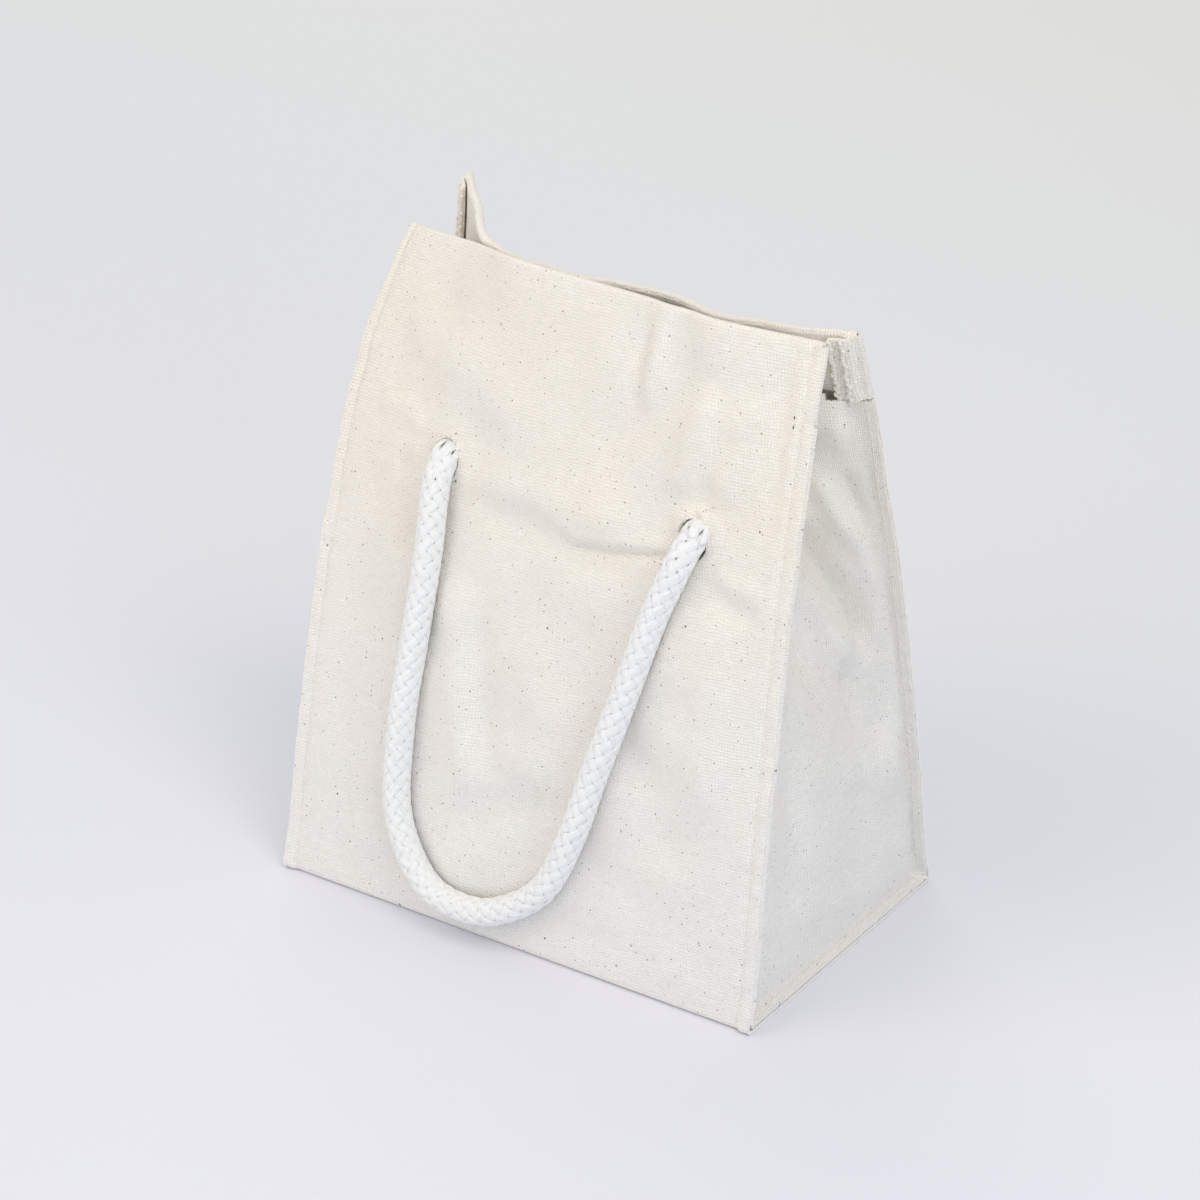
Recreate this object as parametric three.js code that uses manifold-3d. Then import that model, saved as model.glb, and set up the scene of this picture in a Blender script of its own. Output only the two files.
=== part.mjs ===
// A cotton canvas lunch sack with two braided rope handles, standing on its base.
// One strip of canvas makes the front, base and back. Two gussets close the sides.
// Millimetres, +Z up, front towards -Y. The origin is the middle of the base, on the table.
import * as THREE from "three";
import { mergeVertices } from "three/addons/utils/BufferGeometryUtils.js";
import Module from "manifold-3d";

// Driving dimensions of the cut pieces
const width = 190; // the strip from lip to lip
const depth = 116; // base from front fold to back fold
const panelLength = 229; // cloth from a base fold to the top edge
const cloth = 1.2; // thickness of the canvas
const layerGap = 0.6; // air between two layers of cloth
const lip = 4.5; // seam allowance that stands out along the sides
const tabHeight = 25; // the panels run this far above the gussets
const turnInWidth = 9; // side edges of the tabs, turned in
const gussetHemHeight = 9;

// How the cloth stands: how far each top edge has come in over its base fold
const frontTopLean = 53.5; // at the middle, without the bow
const frontTwist = 17; // extra at the left corner, less at the right
const frontBow = 11; // the top edge bellies forward
const backTopLean = 52;
const backTwist = 10.5;
const backBow = 4; // the back follows the front's belly
const steadyLean = 0.65; // share of a lean that is straight, the rest curls at the top
// Corners that leave the lean: where that begins across and up, how it grows, and how far it goes
const frontCorner = { from: 0.3, low: 0.65, power: 2, out: 0, in: 7 }; // front left, drawn in
const leftFlare = { from: 0.5, low: 0.35, power: 1.25, out: 23, in: 14 }; // back left, bent away
const rightFlare = { from: 0.5, low: 0.65, power: 2, out: 7.5, in: 2 };
const foldDepth = 34; // the gussets' folds at the top
const foldSharpness = 0.35; // softness of the fold line, 0 is a crease
const foldGrowth = 2; // shallow near the base, deep at the hem

// Folds that the cloth has kept: a line across and up the panel, its width, and its height, which is
// negative for a valley
const frontFolds = [
  { line: [[-36, 157], [-7, 158], [14, 155], [44, 160]], wide: 9, high: 1.9 }, // over the crease
  { line: [[-36, 147], [-2, 148], [14, 144], [46, 150]], wide: 7, high: -1.6 }, // and under it
  { line: [[-31, 128], [-27, 85], [-20, 50]], wide: 6.5, high: 2 }, // beside the left of the loop
  { line: [[-24, 118], [-19, 86], [-14, 54]], wide: 6.5, high: -1.8 },
  { line: [[-2, 118], [7, 84], [10, 52]], wide: 12, high: 2.2 },
  { line: [[-34, 40], [4, 50], [28, 76]], wide: 9, high: -1.6 },
  { line: [[30, 98], [52, 72], [62, 44]], wide: 9, high: -1.6 },
  { line: [[47, 245], [47, 206], [26, 184], [18, 164]], wide: 8, high: -2.2 }, // above the right hole
  { line: [[60, 212], [50, 168]], wide: 6.5, high: 2.4 },
  { line: [[76, 212], [63, 172]], wide: 6.5, high: 2 },
  { line: [[-62, 162], [-59, 142], [-53, 122]], wide: 6.5, high: -2 }, // the left edge
  { line: [[-80, 200], [-38, 192], [0, 182]], wide: 11, high: 1.7 },
  { line: [[-74, 165], [-78, 100], [-76, 40]], wide: 12, high: -1.6 },
  { line: [[60, 145], [72, 110], [74, 60]], wide: 13, high: 1.8 }, // the right edge
];
const backFolds = [
  { line: [[-46, 150], [-10, 146], [24, 149], [56, 152]], wide: 8, high: 1.7 },
  { line: [[-34, 212], [-22, 180], [-6, 164]], wide: 8, high: -1.8 },
  { line: [[22, 128], [12, 92], [16, 52]], wide: 10, high: 2.2 },
  { line: [[58, 172], [72, 206]], wide: 7, high: 1.6 },
  { line: [[-66, 150], [-72, 100], [-70, 50]], wide: 11, high: -1.7 },
];
const foldFade = 0.25; // share of its line in which a fold comes and goes
// Waves of the top edges: the place across, the width and the height
const frontWaves = [
  { at: -62, wide: 18, high: -4.6 },
  { at: -20, wide: 22, high: 3.6 },
  { at: 60, wide: 20, high: 4 },
];
const backWaves = [
  { at: -38, wide: 16, high: -6 },
  { at: -8, wide: 18, high: -6.5 },
  { at: 46, wide: 13, high: -4 },
];
const waveLow = 0.7; // they begin this far up
const heldBySeam = 22; // the seams keep the cloth flat beside them
const heldByBase = 18;
const heldByHole = { from: 1, to: 1.8 }; // and the ropes round their holes, in sizes of the hole

// Rope handles, with the holes and the loop as they lie on the front
const ropeRadius = 5;
const ropeOff = 6.6; // rope centre to the middle of the cloth it lies on
const hole = { wide: 11.6, tall: 17, height: 0.698 };
const holeX = { left: -44, right: 59 };
const frontLoopRoute = [
  [-42.5, -43, 126.5],
  [-44.5, -48.5, 98.5],
  [-46.5, -54, 70.5],
  [-46, -58.5, 42.5],
  [-40, -61, 26],
  [-29, -63, 15],
  [-14, -63.5, 12.5],
  [0, -63, 16.5],
  [15.5, -61.5, 29],
  [25.5, -59.5, 50.5],
  [32, -56.5, 73.5],
  [41, -52.5, 103.5],
  [49.5, -48.5, 132.5],
];
// The back loop hangs the same way: across the panel, and down from its holes to the base
const backLoopRoute = [
  [-47.5, 0.55],
  [-48, 0.43],
  [-47, 0.3],
  [-44, 0.19],
  [-36, 0.1],
  [-22, 0.062],
  [-4, 0.055],
  [14, 0.072],
  [28, 0.13],
  [37, 0.22],
  [43, 0.32],
  [49, 0.44],
  [54, 0.56],
];
// A stopper knot: the rope runs straight in, swings aside and turns once round itself
const knot = { reach: 12, depth: 5.2, radius: 10.5, pitch: 10.4, turns: 1.03, firstTurn: 22 };
const knotSwing = [
  { deep: 4.2, over: 2, high: 0.4 },
  { deep: 5.4, over: 6.2, high: 1.6 },
];

// Margins and facets
const facingInset = 1.5; // the top facing stops short of the side edges
const turnInInset = { side: 2, low: 2, high: 1 };
const cutLength = 8; // a hole's cutter, longer than the cloth is thick
const ropeFacets = { arc: 5, loop: 40, end: 30 };
const panelColumns = 28; // a panel and its facing bend at the same places

const canvasColour = 0xefe6d6;
const ropeColour = 0xeeece6;

const wasm = await Module();
wasm.setup();

const { smoothstep } = THREE.MathUtils;
const ramp = (x) => Math.max(0, x);
const halfWidth = width / 2;
const seamU = (halfWidth - lip) / halfWidth;
const gussetTopV = 1 - tabHeight / panelLength;
const layerStep = cloth + layerGap;

// Front and back panels
// u runs from -1 at the left lip to 1 at the right, v from 0 at the fold to 1 at the top edge.
const leanShare = (v) => steadyLean * v + (1 - steadyLean) * v ** 3;

function frontLean(u, v) {
  return (frontTopLean - frontTwist * u - frontBow * (1 - u * u)) * leanShare(v);
}

// How far a corner has left the lean, from 0 on most of the panel to 1 at the corner
function bentAway(corner, u, v) {
  const across = ramp((u - corner.from) / (1 - corner.from)) ** corner.power;
  const up = ramp((v - corner.low) / (1 - corner.low)) ** 2;
  return across * up;
}

function backLean(u, v) {
  const flared = leftFlare.out * bentAway(leftFlare, -u, v) + rightFlare.out * bentAway(rightFlare, u, v);
  return (backTopLean + backTwist * u + backBow * (1 - u * u)) * leanShare(v) - flared;
}

// The cloth keeps its length, so the more it leans the less it rises.
function rise(lean, u, v) {
  const steps = 32;
  let z = 0;
  for (let i = 0; i < steps; i++) {
    const run = lean(u, (v * (i + 1)) / steps) - lean(u, (v * i) / steps);
    z += Math.sqrt(((panelLength * v) / steps) ** 2 - run ** 2);
  }
  return z;
}

function frontPoint(u, v) {
  const drawnIn = frontCorner.in * bentAway(frontCorner, -u, v);
  return new THREE.Vector3(u * halfWidth + drawnIn, frontLean(u, v) - depth / 2, rise(frontLean, u, v));
}

function backPoint(u, v) {
  const drawnIn = leftFlare.in * bentAway(leftFlare, -u, v) - rightFlare.in * bentAway(rightFlare, u, v);
  return new THREE.Vector3(u * halfWidth + drawnIn, depth / 2 - backLean(u, v), rise(backLean, u, v));
}

const panels = {
  front: { point: frontPoint, outward: -1, folds: frontFolds, waves: frontWaves },
  back: { point: backPoint, outward: 1, folds: backFolds, waves: backWaves },
};

function outwardNormal(panel, u, v) {
  const d = 1e-3;
  const across = panel.point(u + d, v).sub(panel.point(u - d, v));
  const up = panel.point(u, v + d).sub(panel.point(u, v - d));
  const normal = across.cross(up).normalize();
  return normal.y * panel.outward > 0 ? normal : normal.negate();
}

// A point beside the panel's plain form, out from it by the given distance
function offPlain(panel, u, v, out) {
  return panel.point(u, v).addScaledVector(outwardNormal(panel, u, v), out);
}

// Height of one fold at a place across and up the cloth
function foldHeight({ line, wide, high }, a, b) {
  const place = new THREE.Vector2(a, b);
  const stops = line.map((stop) => new THREE.Vector2(...stop));
  const spans = stops.slice(1).map((stop, k) => stop.distanceTo(stops[k]));
  const whole = spans.reduce((sum, span) => sum + span);
  let passed = 0;
  let nearest = Infinity;
  let along = 0;
  spans.forEach((span, k) => {
    const way = stops[k + 1].clone().sub(stops[k]).divideScalar(span);
    const t = THREE.MathUtils.clamp(place.clone().sub(stops[k]).dot(way), 0, span);
    const away = place.distanceTo(stops[k].clone().addScaledVector(way, t));
    if (away < nearest) {
      nearest = away;
      along = (passed + t) / whole;
    }
    passed += span;
  });
  const ends = smoothstep(along, 0, foldFade) * smoothstep(1 - along, 0, foldFade);
  return high * Math.exp(-((nearest / wide) ** 2)) * ends;
}

// How far out of its plain form a panel's cloth stands, from its folds and the waves of its top edge
function relief(panel, u, v) {
  const a = u * halfWidth;
  const b = v * panelLength;
  let held = smoothstep(seamU * halfWidth - Math.abs(a), 0, heldBySeam) * smoothstep(b, 0, heldByBase);
  for (const x of Object.values(holeX)) {
    const reach = Math.hypot((2 * (a - x)) / hole.wide, (2 * (b - hole.height * panelLength)) / hole.tall);
    held *= smoothstep(reach, heldByHole.from, heldByHole.to);
  }
  let out = 0;
  for (const fold of panel.folds) out += held * foldHeight(fold, a, b);
  const risen = ramp((v - waveLow) / (1 - waveLow)) ** 2;
  for (const { at, wide, high } of panel.waves) out += high * risen * Math.exp(-(((a - at) / wide) ** 2));
  return out;
}

// A point beside the panel's cloth, out from the middle of it by the given distance
function offPanel(panel, u, v, out) {
  return offPlain(panel, u, v, out + relief(panel, u, v));
}

// Gussets
const gussetColumns = 16;

// w runs from -1 at the front seam to 1 at the back seam, s from 0 at the base to 1 at the hem.
function softFold(w) {
  const reach = Math.hypot(1, foldSharpness) - foldSharpness;
  return 1 - (Math.hypot(w, foldSharpness) - foldSharpness) / reach;
}

function gussetPoint(side, w, s) {
  const v = s * gussetTopV;
  const inset = foldDepth * s ** foldGrowth * softFold(w);
  const u = side * (seamU - inset / halfWidth);
  const front = offPlain(panels.front, u, v, -layerStep);
  const back = offPlain(panels.back, u, v, -layerStep);
  return front.lerp(back, (w + 1) / 2);
}

// A point on the gusset's inner side, one layer in from the middle of its cloth
function insideGusset(side, w, s) {
  const d = 1e-3;
  const across = gussetPoint(side, w + d, s).sub(gussetPoint(side, w - d, s));
  const up = gussetPoint(side, w, s + d).sub(gussetPoint(side, w, s - d));
  const normal = across.cross(up).normalize(); // towards +X where the gusset is flat
  return gussetPoint(side, w, s).addScaledVector(normal, -side * layerStep);
}

// The gusset's two upright edges turn out and lie against the panels' lips.
function gussetSection(side, step, steps, s) {
  const tip = (side * (halfWidth - layerGap)) / halfWidth;
  if (step === 0) return offPanel(panels.front, tip, s * gussetTopV, -layerStep);
  if (step === steps) return offPanel(panels.back, tip, s * gussetTopV, -layerStep);
  return gussetPoint(side, -1 + (2 * (step - 1)) / (steps - 2), s);
}

// A closed sheet of even thickness about a grid of points
function sheet(pointAt, columns, rows, thickness = cloth) {
  const grid = [];
  for (let j = 0; j <= rows; j++)
    for (let i = 0; i <= columns; i++) grid.push(pointAt(i, j));
  const stride = columns + 1;
  const at = (i, j) => grid[Math.min(Math.max(j, 0), rows) * stride + Math.min(Math.max(i, 0), columns)];
  const positions = [];
  for (const face of [0.5, -0.5]) {
    for (let j = 0; j <= rows; j++) {
      for (let i = 0; i <= columns; i++) {
        const across = at(i + 1, j).clone().sub(at(i - 1, j));
        const up = at(i, j + 1).clone().sub(at(i, j - 1));
        const normal = across.cross(up).normalize();
        positions.push(...at(i, j).clone().addScaledVector(normal, face * thickness));
      }
    }
  }
  const indices = [];
  const other = grid.length;
  const quad = (a, b, c, d) => indices.push(a, b, c, a, c, d);
  for (let j = 0; j < rows; j++) {
    for (let i = 0; i < columns; i++) {
      const a = j * stride + i;
      quad(a, a + 1, a + 1 + stride, a + stride);
      quad(other + a, other + a + stride, other + a + 1 + stride, other + a + 1);
    }
  }
  for (let i = 0; i < columns; i++) {
    const last = rows * stride + i;
    quad(i, other + i, other + i + 1, i + 1);
    quad(last, last + 1, other + last + 1, other + last);
  }
  for (let j = 0; j < rows; j++) {
    const low = j * stride;
    const high = low + columns;
    quad(low, low + stride, other + low + stride, other + low);
    quad(high, other + high, other + high + stride, high + stride);
  }
  const geometry = new THREE.BufferGeometry();
  geometry.setAttribute("position", new THREE.Float32BufferAttribute(positions, 3));
  geometry.setIndex(indices);
  return faceOut(geometry);
}

// Turns a closed geometry's faces outwards.
function faceOut(geometry) {
  const p = geometry.getAttribute("position");
  const index = geometry.index.array;
  const corner = [new THREE.Vector3(), new THREE.Vector3(), new THREE.Vector3()];
  let volume = 0;
  for (let i = 0; i < index.length; i += 3) {
    corner.forEach((c, k) => c.fromBufferAttribute(p, index[i + k]));
    volume += corner[0].dot(corner[1].cross(corner[2]));
  }
  if (volume < 0)
    for (let i = 0; i < index.length; i += 3) [index[i], index[i + 1]] = [index[i + 1], index[i]];
  geometry.computeVertexNormals();
  return geometry;
}

function solidOf(geometry) {
  const bare = geometry.index ? geometry.toNonIndexed() : geometry.clone();
  bare.deleteAttribute("normal");
  bare.deleteAttribute("uv");
  const merged = mergeVertices(bare, 1e-3);
  const mesh = new wasm.Mesh({
    numProp: 3,
    vertProperties: merged.getAttribute("position").array,
    triVerts: new Uint32Array(merged.index.array),
  });
  return new wasm.Manifold(mesh);
}

function geometryOf(solid) {
  const mesh = solid.getMesh();
  const geometry = new THREE.BufferGeometry();
  geometry.setAttribute("position", new THREE.BufferAttribute(mesh.vertProperties, 3));
  geometry.setIndex(new THREE.BufferAttribute(mesh.triVerts, 1));
  geometry.computeVertexNormals();
  return geometry;
}

// Rope
function ropeTube(points, steps) {
  const section = new THREE.Shape();
  section.absarc(0, 0, ropeRadius, 0, 2 * Math.PI);
  const curve = new THREE.CatmullRomCurve3(points);
  return new THREE.ExtrudeGeometry(section, { steps, curveSegments: ropeFacets.arc, extrudePath: curve });
}

const holePlace = (side) => ({ u: holeX[side] / halfWidth, v: hole.height });

// The loop's two ends are round, so that it can swing about the line through them.
function loopRope(panel, middle) {
  const ends = ["left", "right"].map((side) => {
    const { u, v } = holePlace(side);
    return offPanel(panel, u, v, ropeOff);
  });
  let rope = solidOf(ropeTube([ends[0], ...middle, ends[1]], ropeFacets.loop));
  for (const end of ends) {
    const ball = new THREE.SphereGeometry(ropeRadius, 12, 8).translate(...end);
    rope = rope.add(solidOf(ball));
  }
  return geometryOf(rope);
}

// The rope's end runs in through its hole, turns once round itself and stops.
function ropeEnd(panel, side) {
  const { u, v } = holePlace(side);
  const start = offPanel(panel, u, v, cloth / 2);
  const inward = outwardNormal(panel, u, v).negate();
  const sideways = new THREE.Vector3(side === "left" ? 1 : -1, 0, 0);
  const upward = inward.clone().cross(sideways).normalize();
  const across = upward.clone().cross(inward).normalize();
  const place = (deep, over, high) =>
    start.clone().addScaledVector(inward, deep).addScaledVector(across, over).addScaledVector(upward, high);
  const points = [place(0, 0, 0), place(knot.reach / 2, 0, 0), place(knot.reach, 0, 0)];
  for (const { deep, over, high } of knotSwing) points.push(place(knot.reach + deep, over, high));
  const turnSteps = 12;
  const firstTurn = THREE.MathUtils.degToRad(knot.firstTurn);
  for (let k = 0; k <= turnSteps; k++) {
    const angle = firstTurn + (2 * Math.PI * knot.turns * k) / turnSteps;
    const deep = knot.reach + knot.depth - (knot.pitch * k) / turnSteps;
    points.push(place(deep, knot.radius * Math.cos(angle), knot.radius * Math.sin(angle)));
  }
  return ropeTube(points, ropeFacets.end);
}

// An oval hole through a panel, cut square to the cloth
function holeCutter(panel, side) {
  const { u, v } = holePlace(side);
  const outline = new THREE.Shape();
  outline.absellipse(0, 0, hole.wide / 2, hole.tall / 2, 0, 2 * Math.PI);
  const shape = { depth: cutLength, bevelEnabled: false, curveSegments: 2 * ropeFacets.arc };
  const cutter = new THREE.ExtrudeGeometry(outline, shape);
  cutter.translate(0, 0, -cutLength / 2);
  const turn = new THREE.Matrix4().lookAt(
    outwardNormal(panel, u, v),
    new THREE.Vector3(),
    new THREE.Vector3(0, 0, 1),
  );
  cutter.applyMatrix4(turn);
  cutter.translate(...panel.point(u, v));
  return solidOf(cutter);
}

// Cloth pieces
const columnU = (i) => (2 * i) / panelColumns - 1;

function panelSheet(panel) {
  const rows = 19;
  const foldV = (cloth + layerGap) / panelLength; // the sheet starts just above the base
  const point = (i, j) => offPanel(panel, columnU(i), foldV + ((1 - foldV) * j) / rows, 0);
  let solid = solidOf(sheet(point, panelColumns, rows));
  for (const side of ["left", "right"]) solid = solid.subtract(holeCutter(panel, side));
  return geometryOf(solid);
}

// The top edge is folded in and lies behind the panel.
function topFacing(panel) {
  const rows = 3;
  const edge = 1 - facingInset / halfWidth;
  const low = gussetTopV + (2 * cloth) / panelLength;
  const high = 1 - layerGap / panelLength;
  const point = (i, j) => {
    const u = THREE.MathUtils.clamp(columnU(i), -edge, edge);
    return offPanel(panel, u, low + ((high - low) * j) / rows, -layerStep);
  };
  return sheet(point, panelColumns, rows);
}

function turnIn(panel, side) {
  const sign = side === "left" ? -1 : 1;
  const columns = 2;
  const rows = 3;
  const low = gussetTopV + turnInInset.low / panelLength;
  const high = 1 - turnInInset.high / panelLength;
  const point = (i, j) => {
    const u = (sign * (halfWidth - turnInInset.side - (turnInWidth * i) / columns)) / halfWidth;
    return offPanel(panel, u, low + ((high - low) * j) / rows, -2 * layerStep);
  };
  return sheet(point, columns, rows);
}

function gusset(side) {
  const columns = gussetColumns + 2; // and one column for each lip
  const rows = 14;
  const low = (cloth + 3 * layerGap) / (panelLength * gussetTopV);
  const point = (i, j) => gussetSection(side, i, columns, low + ((1 - low) * j) / rows);
  return sheet(point, columns, rows);
}

// The gusset's top edge is turned in, clear of the two seams.
function gussetHem(side) {
  const columns = gussetColumns - 6;
  const rows = 2;
  const reach = columns / gussetColumns;
  const low = 1 - gussetHemHeight / (panelLength * gussetTopV);
  const point = (i, j) => insideGusset(side, reach * ((2 * i) / columns - 1), low + ((1 - low) * j) / rows);
  return sheet(point, columns, rows);
}

function basePanel() {
  return new THREE.BoxGeometry(width, depth, cloth).translate(0, 0, cloth / 2);
}

// Assembly
const sack = new THREE.Group();

function add(name, geometry, colour, roughness = 0.95) {
  const material = new THREE.MeshStandardMaterial({ color: colour, roughness, metalness: 0 });
  const mesh = new THREE.Mesh(geometry, material);
  mesh.name = name;
  sack.add(mesh);
}

add("base_panel", basePanel(), canvasColour);
for (const [name, panel] of Object.entries(panels)) {
  add(`${name}_panel`, panelSheet(panel), canvasColour);
  add(`${name}_top_facing`, topFacing(panel), canvasColour);
  for (const side of ["left", "right"]) {
    add(`${name}_${side}_turn_in`, turnIn(panel, side), canvasColour);
    add(`${name}_${side}_rope_end`, ropeEnd(panel, side), ropeColour);
  }
}
for (const [name, side] of [
  ["left", -1],
  ["right", 1],
]) {
  add(`${name}_gusset`, gusset(side), canvasColour);
  add(`${name}_gusset_hem`, gussetHem(side), canvasColour);
}
const frontLoop = frontLoopRoute.map((point) => new THREE.Vector3(...point));
const backLoop = backLoopRoute.map(([x, v]) => offPlain(panels.back, x / halfWidth, v, ropeOff));
add("front_handle_rope", loopRope(panels.front, frontLoop), ropeColour);
add("back_handle_rope", loopRope(panels.back, backLoop), ropeColour);

export default sack;
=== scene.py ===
# %% [markdown]
# # A cotton lunch sack with rope handles
# A small sack of natural canvas: one strip makes the front, the base and the back, and two gussets
# close its sides. Two handles of thick braided cotton rope go through plain cut holes and end in knots
# inside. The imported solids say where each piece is. This script dresses them, in metres.

# %% Setup
import math

import bmesh
import bpy
import numpy as np
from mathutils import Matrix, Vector


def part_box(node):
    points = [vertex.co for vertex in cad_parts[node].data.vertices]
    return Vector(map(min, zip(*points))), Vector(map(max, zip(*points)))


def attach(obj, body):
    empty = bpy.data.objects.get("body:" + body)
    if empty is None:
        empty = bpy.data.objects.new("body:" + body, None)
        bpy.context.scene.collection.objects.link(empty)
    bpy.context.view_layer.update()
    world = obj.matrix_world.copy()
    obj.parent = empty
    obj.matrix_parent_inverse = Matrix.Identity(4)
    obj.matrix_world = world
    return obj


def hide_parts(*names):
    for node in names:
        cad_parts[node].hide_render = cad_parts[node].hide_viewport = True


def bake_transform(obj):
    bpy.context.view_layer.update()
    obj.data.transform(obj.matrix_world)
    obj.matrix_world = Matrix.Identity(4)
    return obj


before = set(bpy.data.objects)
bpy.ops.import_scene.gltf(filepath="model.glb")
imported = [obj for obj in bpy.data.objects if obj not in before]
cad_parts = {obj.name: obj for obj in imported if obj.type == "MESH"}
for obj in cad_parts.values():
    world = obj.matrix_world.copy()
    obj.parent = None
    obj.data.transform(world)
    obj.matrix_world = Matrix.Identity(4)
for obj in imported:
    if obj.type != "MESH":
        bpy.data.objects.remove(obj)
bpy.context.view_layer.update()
MM = 0.001  # shapes are worked out in millimetres, and meshes are in metres

# %% [markdown]
# ## Camera
# The photograph looks down on the front's right corner with a long lens. Its place was solved from the
# base corners and the seams, which have the real size, so no shift is needed.

# %% Camera
camera_data = bpy.data.cameras.new("camera")
camera_data.sensor_width = 36
camera_data.lens = 108.6
camera = bpy.data.objects.new("camera", camera_data)
camera.location = (0.6026, -0.8967, 0.6423)
camera.rotation_euler = (math.radians(63.6), 0, math.radians(34.0))
bpy.context.scene.collection.objects.link(camera)
bpy.context.scene.camera = camera

# %% [markdown]
# ## Nodes
# Each material and each row of thread is a tree of nodes. These helpers add a node with its values and
# its links in one step, and make what several trees share.


# %% Nodes
def set_inputs(tree, node, inputs):
    """Gives each input of a node its value, or a link where a socket is given."""
    for name, value in inputs.items():
        if isinstance(value, bpy.types.NodeSocket):
            tree.links.new(value, node.inputs[name])
        else:
            node.inputs[name].default_value = value


def add_node(tree, kind, inputs=None, **settings):
    node = tree.nodes.new(kind)
    for name, value in settings.items():
        setattr(node, name, value)
    set_inputs(tree, node, inputs or {})
    return node


def linear(red, green, blue):
    """A colour as it looks on a screen, 0 to 255, in the renderer's linear values."""
    parts = []
    for part in (red, green, blue):
        share = part / 255
        parts.append(share / 12.92 if share < 0.04045 else ((share + 0.055) / 1.055) ** 2.4)
    return (*parts, 1.0)


def node_material(name):
    """A new material with its node tree and its shader."""
    material = bpy.data.materials.new(name)
    material.use_nodes = True
    tree = material.node_tree
    return material, tree, tree.nodes["Principled BSDF"]


def object_place(tree):
    return add_node(tree, "ShaderNodeTexCoord").outputs["Object"]


def cloth_place(tree):
    return add_node(tree, "ShaderNodeUVMap", uv_map="cloth").outputs["UV"]


def axis_of(tree, vector, axis):
    return add_node(tree, "ShaderNodeSeparateXYZ", {"Vector": vector}).outputs[axis]


def noise(tree, vector, scale, detail=2):
    """Noise from 0 to 1, with its own scale along each axis."""
    stretched = add_node(tree, "ShaderNodeMapping", {"Vector": vector, "Scale": scale})
    inputs = {"Vector": stretched.outputs["Vector"], "Scale": 1, "Detail": detail}
    return add_node(tree, "ShaderNodeTexNoise", inputs).outputs["Fac"]


def share_between(tree, value, low, high, most=1.0):
    """0 where the value is low, and the most where it is high."""
    inputs = {"Value": value, "From Min": low, "From Max": high, "To Max": most}
    return add_node(tree, "ShaderNodeMapRange", inputs).outputs["Result"]


def tones(tree, share, first, last, start=0.0, end=1.0):
    """A ramp from one colour to another."""
    ramp = add_node(tree, "ShaderNodeValToRGB", {"Fac": share})
    for element, place, colour in zip(ramp.color_ramp.elements, (start, end), (first, last)):
        element.position = place
        element.color = linear(*colour)
    return ramp.outputs["Color"]


# %% [markdown]
# ## Floor and light
# The sack stands on a pale floor in soft daylight. A large warm lamp on the left and a cool one on the
# right light the front from both sides, so a fold looks tan on one side and grey on the other. A lamp
# above on the right lights the gusset's top, and one behind lights the floor further back.

# %% Floor and light
FLOOR_SIZE = 8
FLOOR_NEAR = {"y": -0.1, "tone": (229, 229, 238)}
FLOOR_FAR = {"y": 0.9, "tone": (239, 238, 234)}
AIM = (0, 0, 0.12)
FAR_AIM = (-0.8, 0.8, 0)
DAYLIGHT = {"Color": (0.9, 0.95, 1.0, 1), "Strength": 0.65}


def floor_material():
    """A pale sweep that is a little blue near the sack and neutral further back."""
    material, tree, shader = node_material("pale_floor")
    far = share_between(tree, axis_of(tree, object_place(tree), "Y"), FLOOR_NEAR["y"], FLOOR_FAR["y"])
    colour = tones(tree, far, FLOOR_NEAR["tone"], FLOOR_FAR["tone"])
    set_inputs(tree, shader, {"Base Color": colour, "Roughness": 0.9, "Specular IOR Level": 0.1})
    return material


def area_lamp(name, place, target, size, power, colour):
    data = bpy.data.lights.new(name, "AREA")
    data.shape = "DISK"
    data.size = size
    data.energy = power
    data.color = colour
    lamp = bpy.data.objects.new(name, data)
    lamp.location = place
    lamp.rotation_euler = (Vector(target) - Vector(place)).to_track_quat("-Z", "Y").to_euler()
    bpy.context.scene.collection.objects.link(lamp)


bpy.ops.mesh.primitive_plane_add(size=FLOOR_SIZE)
floor = bpy.context.object
floor.name = "floor"
floor.data.materials.append(floor_material())

area_lamp("window_left", (-0.75, -1.15, 0.9), AIM, size=1.5, power=7.9, colour=(1.0, 0.9, 0.77))
area_lamp("sky_right", (1.15, -0.75, 0.35), AIM, size=0.9, power=3.3, colour=(0.6, 0.8, 1.0))
area_lamp("window_above", (0.7, -0.35, 1.2), AIM, size=0.8, power=5.0, colour=(1.0, 0.88, 0.74))
area_lamp("window_far", (-1.05, 1.1, 1.5), FAR_AIM, size=1.4, power=5.2, colour=(1.0, 0.98, 0.95))

world = bpy.data.worlds.new("soft_day")
world.use_nodes = True
set_inputs(world.node_tree, world.node_tree.nodes["Background"], DAYLIGHT)
bpy.context.scene.world = world
bpy.context.scene.view_settings.view_transform = "Standard"

# %% [markdown]
# ## The form of the sack
# The cloth keeps its cut size: the more a panel leans, the less it rises. Each panel is a function of
# u, from the left lip to the right, and v, from the base fold to the top edge, with the solids' own
# values. The front's top is drawn to the back on the left, so the mouth is twisted, and the back left
# corner bends away again.

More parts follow.
